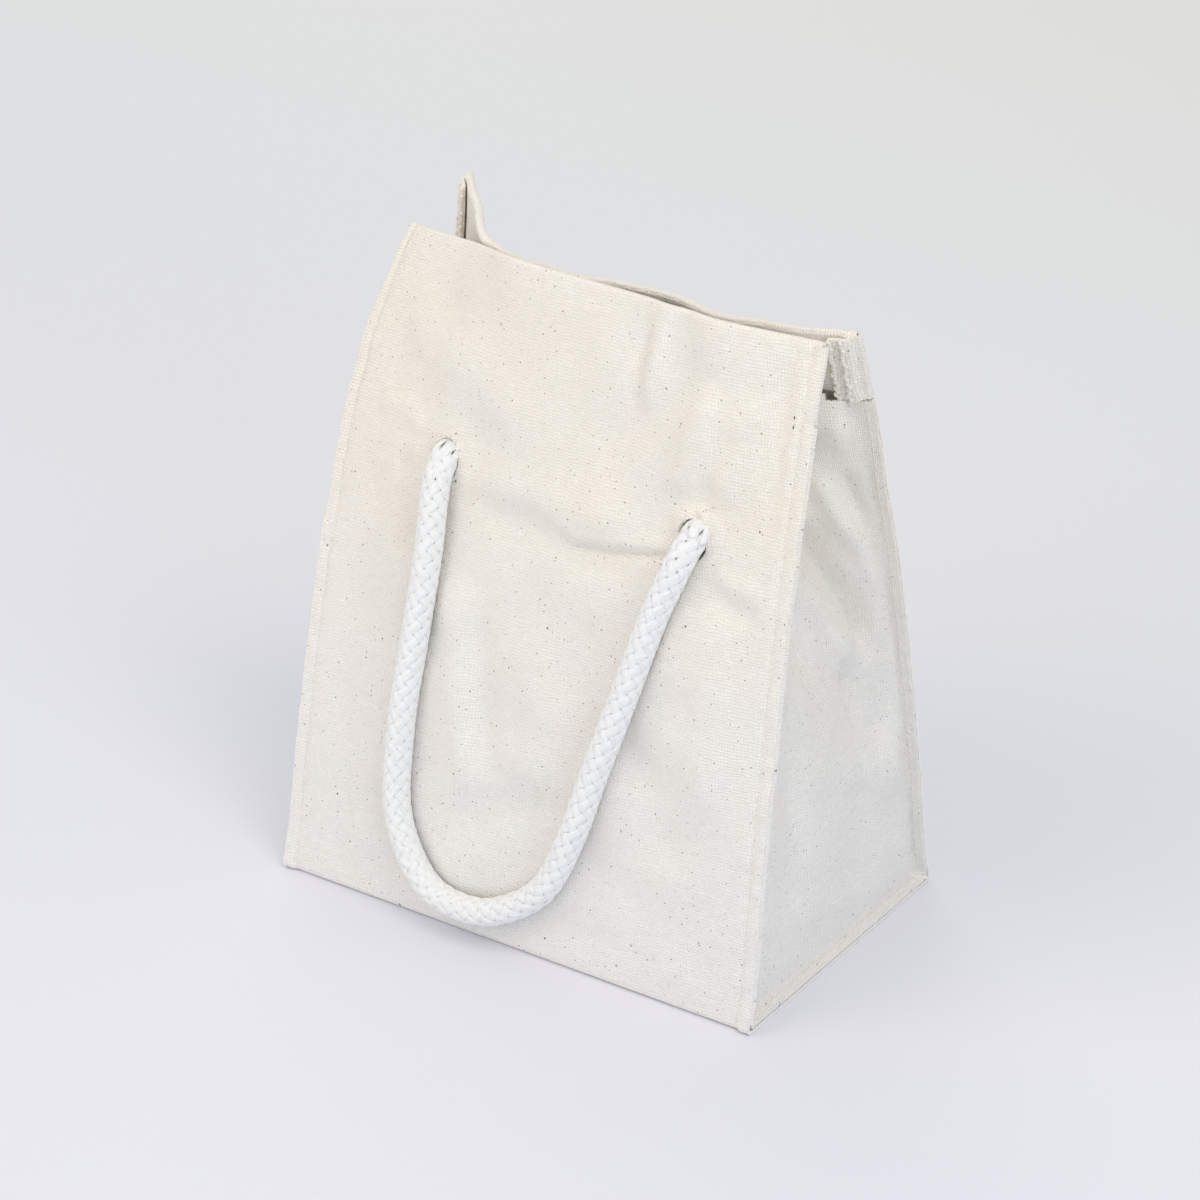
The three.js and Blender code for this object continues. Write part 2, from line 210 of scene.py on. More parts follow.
# %% The form of the sack
base_low, base_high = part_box("base_panel")
WIDTH = (base_high.x - base_low.x) / MM
DEPTH = (base_high.y - base_low.y) / MM
CLOTH = (base_high.z - base_low.z) / MM
HALF = WIDTH / 2
PANEL = 229  # cloth from a base fold to the top edge
GAP = 0.6  # air between two layers
LAYER = CLOTH + GAP
LIP = 4.5  # seam allowance that stands out along the sides
TAB = 25  # the panels run this far above the gussets
SEAM = HALF - LIP
STEADY_LEAN = 0.65  # the share of the lean that grows evenly up the panel
RISE_STEPS = 32
SLOPE_STEP = 1e-3
FRONT_FORM = {
    "outward": -1,
    "top": 53.5,
    "twist": -17,
    "bow": -11,
    "corners": {-1: {"from": 0.3, "low": 0.65, "power": 2, "out": 0, "in": 7}},
}
BACK_FORM = {
    "outward": 1,
    "top": 52,
    "twist": 10.5,
    "bow": 4,
    "corners": {
        -1: {"from": 0.5, "low": 0.35, "power": 1.25, "out": 23, "in": 14},
        1: {"from": 0.5, "low": 0.65, "power": 2, "out": 7.5, "in": 2},
    },
}


def smooth(x):
    """0 below 0, 1 above 1, and an easy rise between."""
    x = np.clip(x, 0, 1)
    return x * x * (3 - 2 * x)


def unit(vectors):
    return vectors / np.linalg.norm(vectors, axis=-1, keepdims=True)


def bent_away(corner, u, v):
    """How far a corner has left the lean, from 0 on most of the panel to 1 at the corner."""
    across = np.maximum(0, (u - corner["from"]) / (1 - corner["from"])) ** corner["power"]
    up = np.maximum(0, (v - corner["low"]) / (1 - corner["low"])) ** 2
    return across * up


def lean_of(form, u, v):
    """How far a panel has come in over the base."""
    share = STEADY_LEAN * v + (1 - STEADY_LEAN) * v**3
    lean = (form["top"] + form["twist"] * u + form["bow"] * (1 - u * u)) * share
    for side, corner in form["corners"].items():
        lean = lean - corner["out"] * bent_away(corner, side * u, v)
    return lean


def rise(form, u, v):
    """Height of a point v along the cloth, which keeps its length as it leans."""
    height = np.zeros_like(u * v)
    for i in range(RISE_STEPS):
        run = lean_of(form, u, v * (i + 1) / RISE_STEPS) - lean_of(form, u, v * i / RISE_STEPS)
        height = height + np.sqrt((PANEL * v / RISE_STEPS) ** 2 - run**2)
    return height


def surface_axes(point, u, v):
    """Unit vectors across, up and along the right-hand normal of a surface."""
    across = unit(point(u + SLOPE_STEP, v) - point(u - SLOPE_STEP, v))
    up = unit(point(u, v + SLOPE_STEP) - point(u, v - SLOPE_STEP))
    return across, up, unit(np.cross(across, up))


class Panel:
    """The front or the back. The relief of its cloth is set when the ropes' lines are known."""

    def __init__(self, form):
        self.form = form
        self.outward = form["outward"]
        self.relief = None

    def point(self, u, v):
        across = HALF * u
        for side, corner in self.form["corners"].items():
            across = across - side * corner["in"] * bent_away(corner, side * u, v)
        deep = self.outward * (DEPTH / 2 - lean_of(self.form, u, v))
        return np.stack([across, deep, rise(self.form, u, v)], -1)

    def axes(self, a, b):
        u, v = np.broadcast_arrays(np.asarray(a, float) / HALF, np.asarray(b, float) / PANEL)
        across, up, normal = surface_axes(self.point, u, v)
        flip = np.where(normal[..., 1:2] * self.outward > 0, 1, -1)
        return self.point(u, v), across, up, normal * flip

    def plain(self, a, b, out=0.0):
        """A point beside the plain form, a and b millimetres across and up the cloth."""
        middle, _, _, normal = self.axes(a, b)
        return middle + normal * np.asarray(out, float)[..., None]

    def at(self, a, b, out=0.0):
        """The same on the cloth with its folds."""
        a, b = np.broadcast_arrays(np.asarray(a, float), np.asarray(b, float))
        return self.plain(a, b, out + self.relief(a, b))


front = Panel(FRONT_FORM)
back = Panel(BACK_FORM)

# %% [markdown]
# ## Rope handles
# Each handle is one length of thick braided cotton. It comes out of its left hole on a slant, hangs in a
# long loop and goes back in at the right. Inside, each end is turned round itself in a stopper knot. The
# loop bends where it leaves the cloth, so the loop and the knots are separate pieces of one braid.
# A braid is two sets of strands, one winding left and one right, that pass over and under each other.
# Strands as real tubes give the diamond pads and the gaps that the photograph shows, and a darker core
# under them, painted shade, makes the gaps dark.

# %% Rope routes
ROPE_RADIUS = 5.0
ROPE_OFF = 6.6  # rope centre to the middle of the cloth it lies on
SETTLED = 1.5  # the soft rope lies this much closer than its solid
HOLE = {"wide": 10.0, "tall": 14.6, "b": 0.698 * PANEL}  # drawn close round the rope
HOLE_A = {"left": -42.8, "right": 58.6}
FRONT_ROUTE = [  # x, y and z
    (-42.5, -43, 126.5), (-44.5, -48.5, 98.5), (-46.5, -54, 70.5), (-46, -58.5, 42.5), (-40, -61, 26),
    (-29, -63, 15), (-14, -63.5, 12.5), (0, -63, 16.5), (15.5, -61.5, 29), (25.5, -59.5, 50.5),
    (32, -56.5, 73.5), (41, -52.5, 103.5), (49.5, -48.5, 132.5),
]
BACK_ROUTE = [  # place across, and share of the way up
    (-47.5, 0.55), (-48, 0.43), (-47, 0.3), (-44, 0.19), (-36, 0.1), (-22, 0.062), (-4, 0.055),
    (14, 0.072), (28, 0.13), (37, 0.22), (43, 0.32), (49, 0.44), (54, 0.56),
]
KNOT = {"reach": 12, "depth": 5.2, "radius": 10.5, "pitch": 10.4, "turns": 1.03, "first": 22, "points": 13}
KNOT_SWING = [(5.4, 6.2, 1.6), (4.2, 2, 0.8)]  # past the reach: deeper, over and up
IN_HOLE = (0.8, 0.35)  # shares of the reach
HIGH_IN_HOLE = 3.0  # the rope lies against the top of its hole
LEAVING = [(1.3, 2.6), (3.9, -2.6), (5.5, -9.5)]  # out of the cloth, and up it, below the hole
SLANT = {"left": -0.04, "right": 0.3}  # how far over the rope goes for each step down the cloth
BESIDE = 0.4  # the rope lies against the right of its hole
CURVE_STEPS = 24  # between two points of a route
FIRST_GUESS = np.array([0.3, 0.8, 0.5])  # any direction that the ropes don't start in


def rope_end_points(panel, side):
    """From the far end of the knot to just outside the hole, in millimetres."""
    middle, _, up, outward = panel.axes(HOLE_A[side], HOLE["b"])
    inward = -outward
    sideways = np.array([1.0 if side == "left" else -1.0, 0, 0])
    upward = unit(np.cross(inward, sideways))
    across = unit(np.cross(upward, inward))
    start = middle + outward * CLOTH / 2

    def place(deep, over, high):
        return start + inward * deep + across * over + upward * high

    points = []
    for share in np.linspace(1, 0, KNOT["points"]):
        angle = math.radians(KNOT["first"]) + 2 * math.pi * KNOT["turns"] * share
        deep = KNOT["reach"] + KNOT["depth"] - KNOT["pitch"] * share
        points.append(place(deep, KNOT["radius"] * math.cos(angle), KNOT["radius"] * math.sin(angle)))
    points += [place(KNOT["reach"] + deep, over, high) for deep, over, high in KNOT_SWING]
    points += [place(KNOT["reach"] * share, 0, HIGH_IN_HOLE) for share in IN_HOLE]
    for out, high in LEAVING:
        over = BESIDE + SLANT[side] * high
        points.append(middle + outward * out + up * high + np.array([over, 0, 0]))
    return points


def even_path(points, step):
    """A smooth curve through the points, cut into even steps."""
    p = np.array(points, float)
    p = np.vstack([2 * p[0] - p[1], p, 2 * p[-1] - p[-2]])
    t = np.linspace(0, 1, CURVE_STEPS, endpoint=False)[:, None]
    pieces = []
    for i in range(1, len(p) - 2):
        spread = 2 * p[i - 1] - 5 * p[i] + 4 * p[i + 1] - p[i + 2]
        curl = 3 * p[i] - p[i - 1] - 3 * p[i + 1] + p[i + 2]
        pieces.append(p[i] + 0.5 * t * (p[i + 1] - p[i - 1] + t * (spread + t * curl)))
    fine = np.vstack([*pieces, p[-2:-1]])
    run = np.concatenate([[0], np.cumsum(np.linalg.norm(np.diff(fine, axis=0), axis=1))])
    marks = np.linspace(0, run[-1], int(round(run[-1] / step)) + 1)
    return np.stack([np.interp(marks, run, fine[:, k]) for k in range(3)], -1), marks


def carried_frames(path):
    """Two unit vectors square to the path at each point, turning as little as they can."""
    ahead = unit(np.gradient(path, axis=0))
    normals = [unit(np.cross(ahead[0], FIRST_GUESS))]
    for direction in ahead[1:]:
        last = normals[-1]
        normals.append(unit(last - direction * (last @ direction)))
    normals = np.array(normals)
    return normals, np.cross(ahead, normals)


# %% Braid
STRANDS = 6  # each way round
BRAID_PITCH = 35  # one strand's full turn, along the rope
STRAND_RING = {"radius": 4.05, "wave": 0.22}  # strands pass over and under by the wave
STRAND = {"wide": 3.4, "thick": 1.1, "sides": 8, "flat": 0.5}
CORE = {"wide": 7.2, "thick": 7.2, "sides": 12, "flat": 1}
FIBRE_SHIFT = 7  # so that no two strands show the same fibres
CROSSING_STEPS = 8
PATH_STEP = BRAID_PITCH / STRANDS / CROSSING_STEPS


def tube_faces(rows, sides, first):
    """Faces of a closed tube of vertex rings, with a cap at each end."""
    ring = first + np.arange(rows * sides).reshape(rows, sides)
    turned = np.roll(ring, -1, axis=1)
    walls = np.stack([ring[:-1], turned[:-1], turned[1:], ring[1:]], -1)
    return [*walls.reshape(-1, 4).tolist(), ring[0, ::-1].tolist(), ring[-1].tolist()]


def tube_rings(centres, side, out, shape):
    """Rings of points about a line: ovals, or with flat below 1 ovals with a flatter top."""
    angles = np.linspace(0, 2 * math.pi, shape["sides"], endpoint=False)
    lift = np.sign(np.sin(angles)) * np.abs(np.sin(angles)) ** shape["flat"]
    wide = side[:, None, :] * (shape["wide"] / 2 * np.cos(angles))[None, :, None]
    thick = out[:, None, :] * (shape["thick"] / 2 * lift)[None, :, None]
    return centres[:, None, :] + wide + thick


def braid_mesh(name, path, marks, normals, binormals):
    """Strands and core along part of a rope. The marks keep the braid going from piece to piece."""
    vertices, faces, uvs, kinds = [], [], [], []

    def add_tube(rings, places, kind):
        made = tube_faces(*rings.shape[:2], sum(map(len, vertices)))
        vertices.append(rings.reshape(-1, 3))
        uvs.append(places.reshape(-1, 2))
        faces.extend(made)
        kinds.extend([kind] * len(made))

    wave = 2 * math.pi * STRANDS * marks / BRAID_PITCH
    around = np.arange(STRAND["sides"]) / STRAND["sides"]
    for way in (1, -1):
        for k in range(STRANDS):
            angle = 2 * math.pi * (k / STRANDS + way * marks / BRAID_PITCH)
            out = normals * np.cos(angle)[:, None] + binormals * np.sin(angle)[:, None]
            radius = STRAND_RING["radius"] + way * STRAND_RING["wave"] * np.cos(wave)
            centres = path + out * radius[:, None]
            side = unit(np.cross(unit(np.gradient(centres, axis=0)), out))
            places = np.stack(np.meshgrid(around, marks + FIBRE_SHIFT * k)[::-1], -1)
            add_tube(tube_rings(centres, side, out, STRAND), places, 0)
    rings = tube_rings(path, normals, binormals, CORE)
    add_tube(rings, np.zeros((*rings.shape[:2], 2)), 1)
    return mesh_object(name, np.vstack(vertices) * MM, faces, np.vstack(uvs) * MM, kinds)


def mesh_object(name, vertices, faces, uvs, kinds=None):
    mesh = bpy.data.meshes.new(name)
    mesh.from_pydata(vertices.tolist(), [], faces)
    layer = mesh.uv_layers.new(name="cloth")
    corners = np.zeros(len(mesh.loops), np.int32)
    mesh.loops.foreach_get("vertex_index", corners)
    layer.data.foreach_set("uv", uvs[corners].astype(np.float32).ravel())
    if kinds is not None:
        mesh.polygons.foreach_set("material_index", np.array(kinds, np.int32))
    mesh.polygons.foreach_set("use_smooth", np.ones(len(faces), bool))
    mesh.update()
    made = bpy.data.objects.new(name, mesh)
    bpy.context.scene.collection.objects.link(made)
    return made


def rope_material():
    """Soft white cotton yarn: fine fibres along each strand, a little grey where they part."""
    material, tree, shader = node_material("cotton_rope")
    fibres = noise(tree, cloth_place(tree), (350, 9000, 1), detail=4)
    bump = add_node(tree, "ShaderNodeBump", {"Height": fibres, "Strength": 0.5, "Distance": 0.0004})
    look = {
        "Base Color": tones(tree, fibres, (228, 228, 227), (240, 240, 239), start=0.3, end=0.6),
        "Normal": bump.outputs["Normal"],
        "Roughness": 0.9,
        "Sheen Weight": 0.2,
        "Specular IOR Level": 0.15,
    }
    set_inputs(tree, shader, look)
    return material


def speckled_material(name, scale, dark, light, roughness, sheen):
    """Cotton of uneven tone: thread, and the rope's core, which shows only as dots in the braid's gaps and
    is darker there as painted shade.
    """
    material, tree, shader = node_material(name)
    colour = tones(tree, noise(tree, object_place(tree), (scale, scale, scale)), dark, light)
    set_inputs(tree, shader, {"Base Color": colour, "Roughness": roughness, "Sheen Weight": sheen})
    return material


cotton_rope = rope_material()
# the core's darker tones are painted shade: they darken the gaps between the braid's strands
rope_core_painted_shade = speckled_material("rope_core_painted_shade", 900, (160, 157, 152), (200, 197, 192), roughness=1.0, sheen=0)


def make_handle(name, panel, loop_points):
    """One rope: a braided loop and two knotted ends, cut where the rope passes the cloth."""
    left = rope_end_points(panel, "left")
    right = rope_end_points(panel, "right")[::-1]
    path, marks = even_path([*left, *loop_points, *right], PATH_STEP)
    normals, binormals = carried_frames(path)
    cuts = []
    for side in ("left", "right"):
        middle = panel.plain(HOLE_A[side], HOLE["b"])
        cuts.append(int(np.argmin(np.linalg.norm(path - middle, axis=1))))
    spans = {
        f"{name}_left_knot": slice(0, cuts[0] + 1),
        f"{name}_rope": slice(cuts[0], cuts[1] + 1),
        f"{name}_right_knot": slice(cuts[1], len(path)),
    }
    made = {}
    for piece, span in spans.items():
        made[piece] = braid_mesh(piece, path[span], marks[span], normals[span], binormals[span])
        made[piece].data.materials.append(cotton_rope)
        made[piece].data.materials.append(rope_core_painted_shade)
    visible = path[spans[f"{name}_rope"]]
    length = np.linalg.norm(np.diff(visible, axis=0), axis=1).sum()
    print(name, "rope", round(marks[-1]), "mm in all,", round(length), "mm outside")
    return made, visible, length


front_points = [np.array(point) + np.array([0, SETTLED, 0]) for point in FRONT_ROUTE]
back_points = [back.plain(a, v * PANEL, ROPE_OFF - SETTLED / 2) for a, v in BACK_ROUTE]
front_rope, front_line, front_length = make_handle("front", front, front_points)
back_rope, back_line, back_length = make_handle("back", back, back_points)

# %% [markdown]
# ## Folds in the cloth
# Canvas is stiff, so it bends in long soft waves and keeps a few creases where it was folded. The relief
# is a sum of these: slow waves all over, small puckers along the seams, and the folds that show in the
# photograph, each a short line with a width and a height.

# %% Folds in the cloth
# Each fold has its width, its height and its line.
FRONT_FOLDS = [
    (9, 1.9, [(-36, 157), (-7, 158), (14, 155), (44, 160)]),
    (7, -1.6, [(-36, 147), (-2, 148), (14, 144), (46, 150)]),
    (6.5, 2.0, [(-31, 128), (-27, 85), (-20, 50)]),
    (6.5, -1.8, [(-24, 118), (-19, 86), (-14, 54)]),
    (12, 2.2, [(-2, 118), (7, 84), (10, 52)]),
    (9, -1.6, [(-34, 40), (4, 50), (28, 76)]),
    (9, -1.6, [(30, 98), (52, 72), (62, 44)]),
    (8, -2.2, [(47, 245), (47, 206), (26, 184), (18, 164)]),
    (6.5, 2.4, [(60, 212), (50, 168)]),
    (6.5, 2.0, [(76, 212), (63, 172)]),
    (6.5, -2.0, [(-62, 162), (-59, 142), (-53, 122)]),
    (11, 1.7, [(-80, 200), (-38, 192), (0, 182)]),
    (12, -1.6, [(-74, 165), (-78, 100), (-76, 40)]),
    (13, 1.8, [(60, 145), (72, 110), (74, 60)]),
]
FRONT_CREASES = [
    (3.5, -0.5, [(-46, 150), (-19, 151), (-4, 150), (10, 146.5)]),
    (1.6, -1.3, [(2, 150), (12, 146), (27, 147.5), (58, 154)]),
    (2.4, 0.8, [(2, 153), (14, 149.5), (27, 151), (58, 158)]),
    (3.2, -1.5, [(33, 245), (31, 209), (29, 188)]),
    (3.4, 1.6, [(39, 245), (37, 215), (34, 190)]),
    (3, -1.2, [(70, 200), (59, 168)]),
    (4, -1.2, [(84, 245), (84, 200), (86, 160)]),
    (4, 1.1, [(66, 152), (76, 148), (86, 150)]),
    (4, -1.0, [(66, 146), (76, 140), (86, 140)]),
    (4, 1.0, [(-52, 166), (-66, 172), (-80, 170)]),
]
BACK_FOLDS = [
    (8, 1.7, [(-46, 150), (-10, 146), (24, 149), (56, 152)]),
    (8, -1.8, [(-34, 212), (-22, 180), (-6, 164)]),
    (10, 2.2, [(22, 128), (12, 92), (16, 52)]),
    (7, 1.6, [(58, 172), (72, 206)]),
    (11, -1.7, [(-66, 150), (-72, 100), (-70, 50)]),
]
BACK_CREASES = [
    (3, -1.1, [(-40, 143), (-8, 140), (20, 143), (48, 147)]),
    (4, 1.2, [(-34, 245), (-36, 212), (-30, 186)]),
    (4, -1.1, [(64, 172), (80, 204)]),
]
FRONT_WAVES = [(-62, 18, -4.6), (-20, 22, 3.6), (58, 22, 5.4)]  # place across, width and height
BACK_WAVES = [(-38, 16, -6.0), (-10, 16, -5.0), (46, 13, -1.2)]
WAVE_LOW = 0.7  # the waves start this far up
FOLD_FADE = 0.25  # share of a fold that fades at each end
FOLD_GAIN = 1.25  # folds are a quarter deeper than the solids'
CREASE_GAIN = 1.3
CREASE_FADE = 5  # beside the seams
HEM_STIFFENS = {"share": 0.75, "below": 16, "over": 14}
SLOW_WAVES = [(0.4, 75, 0), (0.3, 26, 1)]  # height, length and seed
PUCKERS = [(0.1, 0.3, 11, 2), (0.16, 0.2, 30, 4)]  # height, slowness across, length and seed
PUCKER_REACH = 6
LIP_SEED = 3
HELD_BY_SEAM = 22
HELD_BY_BASE = 18
HELD_BY_HOLE = 0.8
THREAD_PULL = {"deep": 0.8, "wide": 1.3}
FOOT = {"out": 1.2, "before": 0.6, "over": 1.8, "tall": 16}  # the lips spread at the base
RIPPLES = {"waves": 14, "shortest": 0.7, "longest": 1.5}
HOLE_LIP = {"high": 1.2, "wide": 0.3, "least": 0.35, "over": 8, "rough": 0.35, "fine": 3, "length": 14}
TORN = {"left": 0.3, "right": 1.7}  # how far the cloth stands out above and left of a hole
TEAR = {"a": -5.5, "b": 6, "wide": 4.5}
GROOVE = {"clear": 0.15, "every": 4, "from_hole": 1.1, "over": 0.5, "raised": 0.5, "at": 8.2, "wide": 2.2}
FAR = 1e9


def ripple(a, b, length, seed):
    """Slow waves of about the given length, from -1 to 1 or so, the same each run."""
    draw = np.random.default_rng(seed)
    total = np.zeros_like(a * b)
    for _ in range(RIPPLES["waves"]):
        turn, phase = draw.uniform(0, 2 * math.pi, 2)
        rate = 2 * math.pi / (length * draw.uniform(RIPPLES["shortest"], RIPPLES["longest"]))
        total = total + np.cos(rate * (a * math.cos(turn) + b * math.sin(turn)) + phase)
    return total / math.sqrt(RIPPLES["waves"] / 2)


def bell(x, wide):
    return np.exp(-((x / wide) ** 2))


def fold_height(a, b, wide, high, line):
    """A ridge, or a valley where high is negative, along a line that fades at its ends."""
    line = np.array(line, float)
    spans = np.linalg.norm(np.diff(line, axis=0), axis=1)
    ends = np.concatenate([[0], np.cumsum(spans)]) / spans.sum()
    nearest = np.full(np.shape(a * b), FAR)
    along = np.zeros_like(nearest)
    for k in range(len(spans)):
        way = (line[k + 1] - line[k]) / spans[k]
        t = np.clip((a - line[k, 0]) * way[0] + (b - line[k, 1]) * way[1], 0, spans[k])
        away = np.hypot(a - line[k, 0] - way[0] * t, b - line[k, 1] - way[1] * t)
        closer = away < nearest
        nearest = np.where(closer, away, nearest)
        along = np.where(closer, ends[k] + (ends[k + 1] - ends[k]) * t / spans[k], along)
    fade = smooth(along / FOLD_FADE) * smooth((1 - along) / FOLD_FADE)
    return high * bell(nearest, wide) * fade


def hole_reach(a, b, side):
    """1 on the edge of a hole, more outside it."""
    return np.hypot((a - HOLE_A[side]) / (HOLE["wide"] / 2), (b - HOLE["b"]) / (HOLE["tall"] / 2))


def hole_lip(a, b, side, seed):
    """The rope has pushed the edge of its hole out, most at the top."""
    ring = bell(hole_reach(a, b, side) - 1, HOLE_LIP["wide"])
    upper = smooth((b - HOLE["b"]) / HOLE_LIP["over"] + 0.5)
    upper = HOLE_LIP["least"] + (1 - HOLE_LIP["least"]) * upper
    rough = ripple(a * HOLE_LIP["fine"], b * HOLE_LIP["fine"], HOLE_LIP["length"], seed)
    lip = HOLE_LIP["high"] * ring * upper * (1 + HOLE_LIP["rough"] * rough)
    away = np.hypot(a - HOLE_A[side] - TEAR["a"], b - HOLE["b"] - TEAR["b"])
    return lip + TORN[side] * bell(away, TEAR["wide"])


def panel_relief(folds, creases, waves, seed):
    """What a panel's cloth stands out of its plain form, with the solids' folds and its own fine ones."""

    def relief(a, b):
        from_seam = np.maximum(SEAM - np.abs(a), 0)
        past_seam = np.abs(a) - SEAM
        low = smooth(b / HELD_BY_BASE)
        held = smooth(from_seam / HELD_BY_SEAM) * low
        for side in HOLE_A:
            held = held * smooth((hole_reach(a, b, side) - 1) / HELD_BY_HOLE)
        total = sum(high * ripple(a, b, length, seed + k) for high, length, k in SLOW_WAVES)
        for fold in folds:
            total = total + FOLD_GAIN * fold_height(a, b, *fold)
        total = total * held
        in_hem = smooth((b - PANEL + HEM_STIFFENS["below"]) / HEM_STIFFENS["over"])
        sharp = smooth(from_seam / CREASE_FADE) * low * (1 - HEM_STIFFENS["share"] * in_hem)
        for crease in creases:
            total = total + CREASE_GAIN * fold_height(a, b, *crease) * sharp
        puckers = sum(high * ripple(a * slow, b, length, seed + k) for high, slow, length, k in PUCKERS)
        total = total + puckers * bell(from_seam, PUCKER_REACH) * low
        total = total - THREAD_PULL["deep"] * bell(past_seam, THREAD_PULL["wide"]) * low
        foot = smooth((past_seam + FOOT["before"]) / FOOT["over"]) * (1 - smooth(b / FOOT["tall"]))
        total = total + FOOT["out"] * foot
        for side in HOLE_A:
            total = total + hole_lip(a, b, side, seed + LIP_SEED)
        risen = np.clip((b / PANEL - WAVE_LOW) / (1 - WAVE_LOW), 0, None) ** 2
        for centre, wide, high in waves:
            total = total + high * risen * bell(a - centre, wide)
        return total

    return relief


def pressed_by_rope(panel, loose, line):
    """A panel's loose relief, pushed in where the rope lies on it and raised along its sides."""
    rope = line[:: GROOVE["every"]]
    clear = ROPE_RADIUS + CLOTH / 2 + GROOVE["clear"]

    def relief(a, b):
        out = loose(a, b)
        spot = panel.plain(a, b, out).reshape(-1, 3)
        distance = np.full(len(spot), FAR)
        for point in rope:
            distance = np.minimum(distance, np.linalg.norm(spot - point, axis=1))
        distance = distance.reshape(out.shape)
        beside_hole = np.minimum(hole_reach(a, b, "left"), hole_reach(a, b, "right"))
        beside = smooth((beside_hole - GROOVE["from_hole"]) / GROOVE["over"])
        hug = GROOVE["raised"] * bell(distance - GROOVE["at"], GROOVE["wide"])
        return out + (hug - np.maximum(clear - distance, 0)) * beside

    return relief


front_loose = panel_relief(FRONT_FOLDS, FRONT_CREASES, FRONT_WAVES, seed=11)
back_loose = panel_relief(BACK_FOLDS, BACK_CREASES, BACK_WAVES, seed=31)
front.relief = pressed_by_rope(front, front_loose, front_line)
back.relief = pressed_by_rope(back, back_loose, back_line)

# %% [markdown]
# ## Canvas
# Unbleached cotton canvas: thick yarns in a plain weave, a warm cream that is never quite even, and dark
# seed flecks. Towards the base it turns cooler: painted light, for the bluish light that the floor throws
# up. The weave follows each piece's own UV map, which holds the cut cloth in metres, so it turns with the
# folds. The bump comes from the same weave, with slubs along the yarns.

# %% Canvas material
YARNS = {"X": 0.00095, "Y": 0.00105}  # spacing across the cloth and along it, in metres
WANDER = {"scale": 260, "far": (0.0018, 0.0018, 0)}  # no yarn is quite straight
PAD_ROUNDNESS = 0.5
SLUBS = [(1000, 240, 1), (240, 1000, 1)]  # along the warp and along the weft
SLUB_HEIGHT = 0.5
WEAVE_BUMP = {"Strength": 0.8, "Distance": 0.0003}
CREAM = {"pale": (254, 250, 243), "warm": (254, 246, 233)}
GAP_SHADE = {"from": 1.2, "share": 0.48}
FLECKS = [
    {"tone": (112, 94, 76), "strength": 0.7, "spacing": 0.0023, "largest": 0.0003, "share": 0.9},
    {"tone": (78, 66, 56), "strength": 0.8, "spacing": 0.0075, "largest": 0.00042, "share": 0.65},
]
FLECK_SIZES = {"low": -0.7, "high": 1.0}  # the smallest is 0.4 of the largest
MIX_COLOURS = {"share": 0, "first": 6, "second": 7, "result": 2}  # sockets of the mix node


def math_node(tree, operation, first, second=0.0):
    return add_node(tree, "ShaderNodeMath", {0: first, 1: second}, operation=operation).outputs[0]


def mix_colour(tree, share, first, second):
    inputs = {MIX_COLOURS["share"]: share, MIX_COLOURS["first"]: first, MIX_COLOURS["second"]: second}
    return add_node(tree, "ShaderNodeMix", inputs, data_type="RGBA").outputs[MIX_COLOURS["result"]]


def fleck_share(tree, vector, fleck):
    """The strength of a kind of seed fleck where it lies, and 0 elsewhere."""
    cells = add_node(tree, "ShaderNodeTexVoronoi", {"Vector": vector, "Scale": 1 / fleck["spacing"]})
    drawn = add_node(tree, "ShaderNodeSeparateColor", {"Color": cells.outputs["Color"]})
    spread = share_between(tree, drawn.outputs["Red"], **FLECK_SIZES)
    size = math_node(tree, "MULTIPLY", spread, fleck["largest"] / fleck["spacing"])
    inside = math_node(tree, "LESS_THAN", cells.outputs["Distance"], size)
    chosen = math_node(tree, "LESS_THAN", drawn.outputs["Green"], fleck["share"])
    return math_node(tree, "MULTIPLY", math_node(tree, "MULTIPLY", inside, chosen), fleck["strength"])


